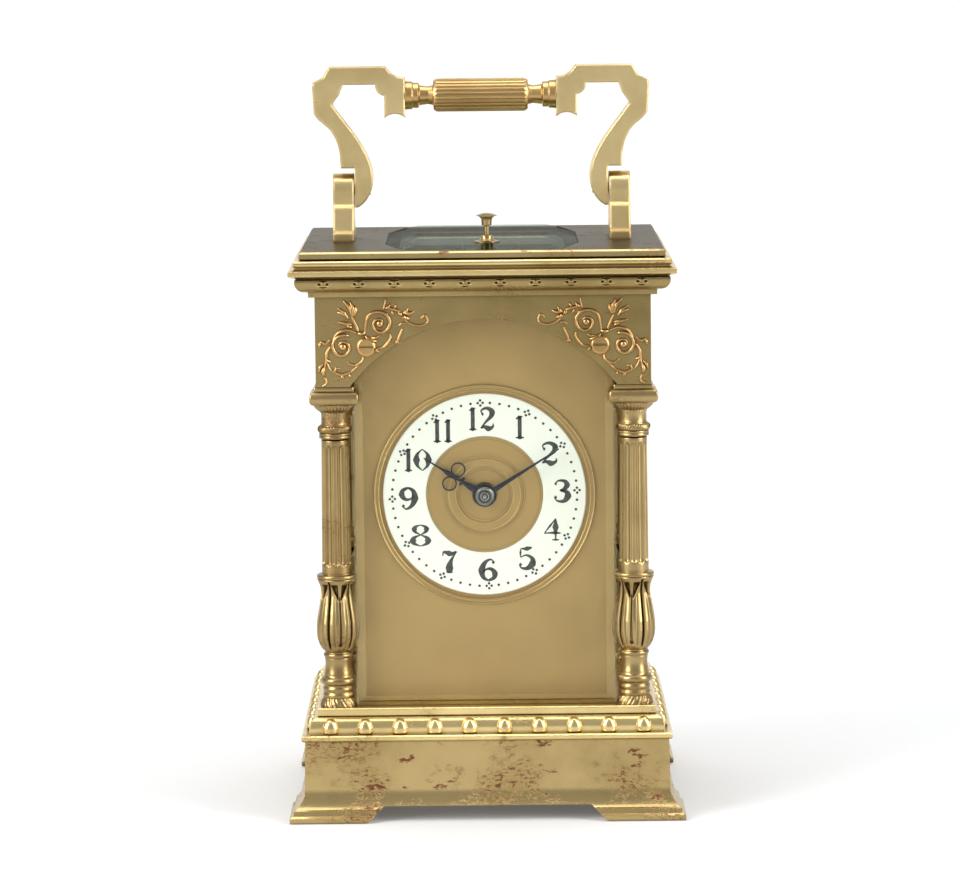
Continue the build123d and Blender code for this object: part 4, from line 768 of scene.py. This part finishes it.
hour_angle, hour_reach = hand_angle("hour_hand")
hour_low, hour_high = box_mm("hour_hand")
front, back = hour_low.y + 0.02, hour_high.y - 0.02
hour_shape = [(2.6, 0.95), (4.6, 0.8), (6.4, 0.42), (6.6, 1.15), (7.1, 1.15), (7.3, 0.4), (8.0, 0.35),
              (9.2, 0.6), (10.2, 0.8), (11.4, 0.6), (12.8, 0.26), (hour_reach - 0.3, 0.14)]
hour_pieces = [outline_plate(hour_shape, hour_angle, front, back),
               round_plate(0, DIAL_Z, 2.95, 1.6, front, back)]
for side in (-1, 1):
    loop_x, loop_z = on_dial(hour_angle + side * 12.8, 9.5)
    hour_pieces.append(round_plate(loop_x, loop_z, 1.9, 1.55, front, back))
add_piece("hour_hand_filed", *joined(*hour_pieces), blued, "hour_hand", smooth=False)

minute_angle, minute_reach = hand_angle("minute_hand")
minute_low, minute_high = box_mm("minute_hand")
front, back = minute_low.y + 0.02, minute_high.y - 0.02
minute_shape = [(1.8, 0.75), (6, 0.55), (12, 0.36), (minute_reach - 0.2, 0.14)]
add_piece("minute_hand_filed", *joined(
    outline_plate(minute_shape, minute_angle, front, back),
    round_plate(0, DIAL_Z, 2.15, 1.0, front, back)), blued, "minute_hand", smooth=False)
collet_steel = worked_steel("collet_steel", (0.40, 0.39, 0.37, 1), (0.26, 0.25, 0.23, 1), 0.2)
collet_front = box_mm("hand_collet")[0].y


def turned_face(profile, sides=64):
    """A piece turned about the dial's axis: (radius, y) pairs from its rim to its middle."""
    corners = []
    for radius, y in profile:
        for i in range(sides):
            turn = 2 * math.pi * i / sides
            corners.append((radius * math.sin(turn), y, DIAL_Z + radius * math.cos(turn)))
    return corners, band_faces(len(profile), sides)


washer = [(2.42, 1.15), (2.42, 0.6), (2.1, 0.3), (1.75, 0.35), (1.6, 0.8), (1.3, 0.8), (1.15, 0.3),
          (0.85, 0.2), (0.8, 0.6), (0.6, 0.6), (0.5, 0.05), (0.01, 0.0)]
add_piece("hand_collet_turned", *turned_face([(radius, collet_front + drop) for radius, drop in washer]),
          collet_steel, "hand_collet", smooth=False)
# Two black ink rings float over the collet's grooves: painted shade in the grooves.
groove_shade_rings = [circle_line(1.45, 0.28, collet_front + 0.26), circle_line(0.7, 0.16, collet_front - 0.01)]
add_piece("hand_collet_groove_shade", *joined(*groove_shade_rings), ink, "hand_collet", replaces=False, smooth=False)
print("hands point to", round(hour_angle % 360, 1), "and", round(minute_angle % 360, 1), "degrees")

# %% [markdown]
# The centre of the dial has four fine engraved circles and two raised rings, and a raised bezel
# holds the enamel in the frosted mask.

# %% Engraved circles
floor_front = -27.9
line_front = floor_front - 0.03
circles = [circle_line(10.0, 0.14, line_front), circle_line(10.5, 0.1, line_front),
           circle_line(6.4, 0.12, line_front), circle_line(14.3, 0.12, line_front)]
engraved = case_brass("engraved_line", (0.34, 0.25, 0.11, 1), (0.24, 0.17, 0.07, 1), STAIN, 0.1, 0.5)
add_piece("engraved_circles", *joined(*circles), engraved, "dial_centre", replaces=False, smooth=False)


def tube_faces(around, tube):
    """Faces of a closed tube that has 'tube' corners at each of 'around' places."""
    faces = []
    for i in range(around):
        j = (i + 1) % around
        for k in range(tube):
            m = (k + 1) % tube
            faces.append((i * tube + k, i * tube + m, j * tube + m, j * tube + k))
    return faces


def raised_ring(radius, thick, lift, middle_y, around=160, tube=10):
    """A round bead that circles the dial's centre."""
    corners = []
    for i in range(around):
        turn = 2 * math.pi * i / around
        for k in range(tube):
            bend = 2 * math.pi * k / tube
            reach = radius + thick * math.cos(bend)
            corners.append((reach * math.sin(turn), middle_y + lift * math.sin(bend),
                            DIAL_Z + reach * math.cos(turn)))
    return corners, tube_faces(around, tube)


bezel_gilt = case_brass("bezel_gilding", (0.66, 0.47, 0.20, 1), (0.54, 0.37, 0.15, 1), STAIN, 0.05, 0.26)
add_piece("dial_bezel", *joined(raised_ring(28.2, 0.28, 0.3, -28.5), raised_ring(27.2, 0.22, 0.3, -28.4)),
          bezel_gilt, "dial_mask", replaces=False)
add_piece("centre_rings", *joined(raised_ring(9.2, 0.16, 0.2, -28.15), raised_ring(7.4, 0.16, 0.2, -28.15)),
          bezel_gilt, "dial_centre", replaces=False)

# %% [markdown]
# A ground bevel runs round the front pane. It bends light, so it shows as a paler band. A strip that
# lies on the bevel, part clear and part soft mirror, gives that band without clouding the pane.

# %% The ground bevel of the front pane
bevel = Shade("ground_bevel")
speckle = bevel.noise(420, 3, 0.6)
bevel = bevel.finish(bevel.node("ShaderNodeMixShader", None, {
    0: speckle.smooth(0.2, 0.8) * 0.05 + 0.08,
    1: bevel.node("ShaderNodeBsdfTransparent", None, {"Color": (0.97, 0.98, 0.95, 1)}),
    2: bevel.node("ShaderNodeBsdfGlossy", None, {"Color": (1, 0.78, 0.40, 1), "Roughness": 0.35})}))


def pane_edge(half, low, spring, rise, inset, y):
    """Points along the pane's outline, drawn in by inset, from the lower left round to the lower right."""
    ball = (half * half + rise * rise) / (2 * rise)
    centre_z = spring + rise - ball
    reach = ball - inset
    wide = half - inset
    start = math.acos(wide / reach)
    points = [(-wide, y, low + inset)]
    for i in range(41):
        turn = math.pi - start - (math.pi - 2 * start) * i / 40
        points.append((reach * math.cos(turn), y, centre_z + reach * math.sin(turn)))
    return points + [(wide, y, low + inset)]


PANE_HALF, PANE_LOW, PANE_SPRING, PANE_RISE = 33.5, 28.5, 113.6, 17.1
outer_edge = pane_edge(PANE_HALF, PANE_LOW, PANE_SPRING, PANE_RISE, 0.15, -34.35)
inner_edge = pane_edge(PANE_HALF, PANE_LOW, PANE_SPRING, PANE_RISE, 2.7, -35.14)
count = len(outer_edge)
strips = [(i, (i + 1) % count, count + (i + 1) % count, count + i) for i in range(count)]
add_piece("front_glass_bevel", outer_edge + inner_edge, strips, bevel, "front_glass",
          replaces=False, smooth=False)


# %% [markdown]
# The gilt mounts in the front's two corners are cast scrollwork: two spirals, a tulip and a leafy
# branch round one screw. Every stem is a half-round ridge that follows a smooth path and thins to its
# ends; every leaf is a short ridge that swells in its middle. The right mount mirrors the left.

# %% The corner mounts
PLATE_FRONT = -37.0


def ridge(points, widths, height, base=PLATE_FRONT, sides=7):
    """A half-round raised line on the front plate."""
    corners, faces = [], []
    for i, (x, z) in enumerate(points):
        before, after = points[max(i - 1, 0)], points[min(i + 1, len(points) - 1)]
        along = Vector((after[0] - before[0], after[1] - before[1]))
        along = along.normalized() if along.length > 1e-9 else Vector((1, 0))
        half = widths[i] / 2
        tall = min(height, half * 1.5)
        for k in range(sides):
            turn = math.pi * k / (sides - 1)
            out = half * math.cos(turn)
            corners.append((x - along.y * out, base - tall * math.sin(turn), z + along.x * out))
    for i in range(len(points) - 1):
        for k in range(sides - 1):
            a = i * sides + k
            faces.append((a, a + 1, a + 1 + sides, a + sides))
    faces.append(tuple(range(sides))[::-1])
    faces.append(tuple(range(len(corners) - sides, len(corners))))
    return corners, faces


def dome(x, z, radius, height, base=PLATE_FRONT, sides=24):
    """A low round boss."""
    corners = []
    levels = 5
    for level in range(levels):
        turn = math.pi / 2 * level / levels
        for i in range(sides):
            around = 2 * math.pi * i / sides
            reach = radius * math.cos(turn)
            corners.append((x + reach * math.cos(around), base - height * math.sin(turn),
                            z + reach * math.sin(around)))
    faces = band_faces(levels, sides)
    faces.append(tuple(range((levels - 1) * sides, levels * sides)))
    return corners, faces


def spiral(x, z, start, first, last, turns, side=1):
    """Points of a spiral that winds inwards from a start angle."""
    points = []
    count = int(18 * turns) + 1
    for i in range(count):
        share = i / (count - 1)
        turn = math.radians(start) + side * 2 * math.pi * turns * share
        radius = first + (last - first) * share ** 0.85
        points.append((x + radius * math.cos(turn), z + radius * math.sin(turn)))
    return points


# Stems and leaves of the left mount in millimetres: (points, thickest width, where it is thickest).
STEMS = [
    ([(-32.0, 124.9), (-34.5, 125.7), (-37.0, 124.6), (-38.3, 122.0)], 0.9, 0.5),
    ([(-30.0, 124.6), (-29.7, 126.6), (-29.0, 129.1), (-26.9, 130.3), (-23.9, 129.7)], 0.9, 0.5),
    ([(-31.5, 125.3), (-32.4, 127.4), (-33.2, 129.1)], 1.0, 0.3),
    ([(-25.1, 130.9), (-24.7, 132.2), (-24.6, 133.4)], 0.6, 0.2),
    ([(-25.1, 131.4), (-23.3, 131.0), (-21.3, 130.4), (-20.3, 129.4)], 0.9, 0.5),
    ([(-20.3, 128.9), (-18.8, 127.4), (-16.3, 126.6), (-14.0, 127.4), (-14.6, 129.2), (-15.6, 128.4)],
     0.7, 0.4),
    ([(-19.5, 127.1), (-20.4, 127.2), (-21.3, 126.6)], 0.6, 0.5),
    ([(-20.3, 125.9), (-21.1, 124.1), (-21.6, 122.5), (-20.8, 122.3)], 0.8, 0.4),
    ([(-26.9, 121.0), (-25.1, 121.3), (-23.4, 123.3), (-23.6, 124.6)], 0.9, 0.5),
    ([(-41.1, 122.8), (-39.8, 122.3), (-38.6, 123.3)], 1.0, 0.4),
    ([(-38.6, 121.5), (-39.6, 119.8), (-39.8, 117.7), (-40.1, 116.4), (-40.3, 114.7)], 0.9, 0.3),
    ([(-40.1, 113.6), (-39.8, 112.1), (-40.8, 111.4)], 0.7, 0.4),
    ([(-39.6, 117.5), (-38.8, 115.7), (-37.5, 114.9), (-36.0, 114.3), (-34.3, 114.7), (-33.0, 115.4),
      (-31.2, 117.2)], 0.9, 0.5),
    ([(-37.8, 114.9), (-37.2, 116.0), (-36.4, 115.8)], 0.6, 0.5),
    ([(-30.5, 119.0), (-30.7, 117.7), (-32.5, 116.7), (-34.0, 117.2), (-34.5, 117.7)], 0.8, 0.4),
    ([(-33.0, 127.0), (-34.6, 127.3), (-36.6, 127.6)], 1.1, 0.5),
    ([(-33.0, 126.2), (-34.5, 126.9)], 1.0, 0.5),
]
LEAVES = [
    ((-33.2, 129.1), (-35.3, 133.2), 1.5), ((-33.0, 129.0), (-33.6, 133.0), 1.5),
    ((-32.8, 129.0), (-32.1, 131.9), 1.4), ((-33.8, 128.6), (-36.9, 130.2), 1.4),
    ((-34.0, 128.2), (-36.8, 131.3), 1.2), ((-31.9, 124.9), (-29.6, 125.0), 1.6),
    ((-29.9, 124.2), (-26.7, 122.7), 1.7), ((-28.5, 123.6), (-26.3, 124.1), 1.2),
    ((-24.8, 130.9), (-23.4, 132.2), 1.2), ((-21.3, 130.4), (-20.2, 129.2), 1.7),
    ((-20.3, 130.0), (-17.3, 130.2), 1.4), ((-20.0, 129.3), (-18.4, 128.3), 1.3),
    ((-20.3, 129.6), (-18.9, 131.2), 1.1), ((-22.6, 130.9), (-22.0, 132.2), 1.0),
    ((-22.9, 130.6), (-22.4, 129.3), 1.0), ((-41.1, 122.8), (-41.3, 121.2), 1.2),
    ((-40.3, 116.4), (-40.3, 113.9), 1.6), ((-40.4, 117.2), (-41.7, 114.9), 1.2),
    ((-39.6, 118.3), (-38.4, 117.6), 1.1), ((-36.0, 114.4), (-35.2, 113.3), 1.1),
    ((-34.0, 114.6), (-33.4, 113.6), 1.0), ((-21.3, 122.9), (-22.3, 121.9), 1.2),
    ((-27.4, 121.3), (-26.3, 119.9), 1.3),
]
# Centre, start angle, first radius, turns, and way round.
SPIRALS = [(-35.5, 121.3, 60, 3.3, 1.35, 1), (-26.1, 127.1, 150, 3.6, 1.35, -1)]


def scrollwork(side):
    """All the ridges of one mount: side is 1 for the left one, and -1 mirrors it."""
    pieces = []

    def lay(points, widths, height):
        pieces.append(ridge([(side * x, z) for x, z in points], widths, height))

    for points, thick, peak in STEMS:
        path = smooth_path(points, 6)
        lay(path, swelling(len(path), 0.45, thick, peak, 1.0), 0.75)
    for base, tip, wide in LEAVES:
        middle = ((base[0] + tip[0]) / 2 + (tip[1] - base[1]) * 0.12,
                  (base[1] + tip[1]) / 2 - (tip[0] - base[0]) * 0.12)
        path = smooth_path([base, middle, tip], 6)
        lay(path, swelling(len(path), 0.2, wide * 0.8, 0.5, 0.8), 0.8)
    for x, z, start, first, turns, way in SPIRALS:
        path = spiral(x, z, start, first, 0.9, turns, way)
        lay(path, swelling(len(path), 0.55, 1.05, 0.35, 1.0), 0.85)
        pieces.append(dome(side * x, z, 0.95, 0.8))
    pieces.append(dome(side * -29.6, 121.2, 2.5, 0.85))
    return pieces


mounts = [piece for side in (1, -1) for piece in scrollwork(side)]
add_piece("spandrel_scrollwork", *joined(*mounts), mount_gilt, "spandrel_mounts")
print("ridges in the two corner mounts:", len(mounts))


# %% [markdown]
# Two rows of ornament finish the mouldings. The base carries flat domes, one after another, and the
# frieze carries small eyes: a pit that a lens-shaped rim surrounds. Both follow the pits and beads
# that the frame already has, so their places come from the same pitch.

# %% Domes on the base and eyes on the frieze
PITCH = 8.9


def egg(x, y, z, half_x, half_y, half_z, floor_z=22.05, around=20, rows=12):
    """An egg-shaped boss, cut off level at floor_z."""
    corners = []
    for row in range(1, rows):
        up = math.pi * row / rows
        for i in range(around):
            turn = 2 * math.pi * i / around
            corners.append((x + half_x * math.sin(up) * math.cos(turn),
                            y + half_y * math.sin(up) * math.sin(turn),
                            max(floor_z, z - half_z * math.cos(up))))
    faces = band_faces(rows - 1, around)
    faces.append(tuple(range(around))[::-1])
    faces.append(tuple(range((rows - 2) * around, (rows - 1) * around)))
    return corners, faces


def eye_rim(x, y, z, half_long, half_tall, thick, along_x=True, around=28, tube=8):
    """A lens-shaped rim: an oval ring with pointed ends."""
    corners = []
    for i in range(around):
        turn = 2 * math.pi * i / around
        long, tall = half_long * math.cos(turn), half_tall * math.sin(turn) * abs(math.sin(turn)) ** 0.6
        for k in range(tube):
            bend = 2 * math.pi * k / tube
            out, lift = thick * math.cos(bend), thick * math.sin(bend)
            wide = long + out * math.cos(turn)
            spot = (x + wide, y + lift) if along_x else (x + lift, y + wide)
            corners.append((*spot, z + tall + out * math.sin(turn)))
    return corners, tube_faces(around, tube)


# Each pit is a small dark boss in the engraved-line brass: painted shade in place of a hollow.
domes, eyes, pits = [], [], []
for side in (-1, 1):
    for i in range(10):
        x = (i - 4.5) * PITCH
        domes.append(egg(x, side * 38.5, 23.2, 2.25, 1.95, 2.7))
        eyes.append(eye_rim(x, side * 41.55, 137.7, 2.5, 0.5, 0.2))
        pits.append(egg(x, side * 41.3, 137.75, 0.85, 0.75, 0.7))
    for i in range(8):
        y = (i - 3.5) * PITCH
        domes.append(egg(side * 44.6, y, 23.2, 1.95, 2.25, 2.7))
        eyes.append(eye_rim(side * 47.05, y, 137.7, 2.5, 0.5, 0.2, along_x=False))
        pits.append(egg(side * 46.8, y, 137.75, 0.75, 0.85, 0.7))
add_piece("base_domes", *joined(*domes), painted_light_lip_brass, "base_moulding", replaces=False)
add_piece("frieze_eyes", *joined(*eyes), painted_light_lip_brass, "frieze_moulding", replaces=False)
add_piece("frieze_pit_shade", *joined(*pits), engraved, "frieze_moulding", replaces=False)
print("domes and eyes:", len(domes), len(eyes))


# %% [markdown]
# A small bright object is best shown on a curved sheet of white paper, so that no horizon shows behind
# it. Two tall soft lights stand at its sides and a wide one hangs above, because brass shows what it
# mirrors: large soft lights give long calm highlights. A pale world fills the shadows.

# %% Camera, paper and light
scene = bpy.context.scene
camera = bpy.data.objects.new("camera", bpy.data.cameras.new("camera"))
scene.collection.objects.link(camera)
camera.data.lens = 152.25
camera.data.sensor_width = 36
camera.data.clip_end = 20
camera.location = (0.00036, -1.0585, 0.2306)
camera.rotation_euler = (math.radians(82.493), math.radians(0.6), 0)
scene.camera = camera
scene.view_settings.view_transform = "Standard"
paper = Shade("white_paper")
grain = paper.noise(900, 3, 0.6)
paper_tone = paper.blend(grain.smooth(0.3, 0.8), (0.54, 0.54, 0.54, 1), (0.52, 0.52, 0.52, 1))
paper = paper.metal(Base_Color=paper_tone, Roughness=0.8, Emission_Color=(1, 1, 1, 1),
                    Emission_Strength=0.10)
mesh = bpy.data.meshes.new("sweep")
SWEEP_START, SWEEP_RADIUS, SWEEP_HALF, TABLE_Z = 0.5, 0.7, 4, -0.0002
corners, faces = [], []
for i in range(25):
    turn = math.pi / 2 * max(0, i - 1) / 23
    depth = SWEEP_START + SWEEP_RADIUS * math.sin(turn) if i else -4
    height = TABLE_Z + SWEEP_RADIUS * (1 - math.cos(turn))
    corners += [(side, depth, height) for side in (-SWEEP_HALF, SWEEP_HALF)]
corners += [(-4, 1.2, 4), (4, 1.2, 4)]
for i in range(25):
    faces.append((2 * i, 2 * i + 1, 2 * i + 3, 2 * i + 2))
mesh.from_pydata(corners, [], faces)
mesh.shade_smooth()
mesh.materials.append(paper)
sweep = bpy.data.objects.new("sweep", mesh)
scene.collection.objects.link(sweep)


def soft_light(name, watts, size, place, aim):
    """A rectangular soft light that faces a point."""
    lamp = bpy.data.lights.new(name, "AREA")
    lamp.shape = "RECTANGLE"
    lamp.size, lamp.size_y = size
    lamp.energy = watts
    holder = bpy.data.objects.new(name, lamp)
    scene.collection.objects.link(holder)
    holder.location = place
    holder.rotation_euler = (Vector(aim) - Vector(place)).to_track_quat("-Z", "Y").to_euler()


MIDDLE = (0, 0, 0.09)
soft_light("left_softbox", 24.5, (0.7, 1.2), (-1.1, -0.75, 0.75), MIDDLE)
soft_light("right_softbox", 17, (0.6, 1.2), (1.15, -0.55, 0.6), MIDDLE)
soft_light("overhead_softbox", 19, (1.4, 1.0), (0, 0.1, 1.5), MIDDLE)
world = bpy.data.worlds.new("studio")
scene.world = world
world.use_nodes = True
sky = world.node_tree.nodes["Background"]
sky.inputs["Color"].default_value = (0.95, 0.97, 1.0, 1)
sky.inputs["Strength"].default_value = 0.55
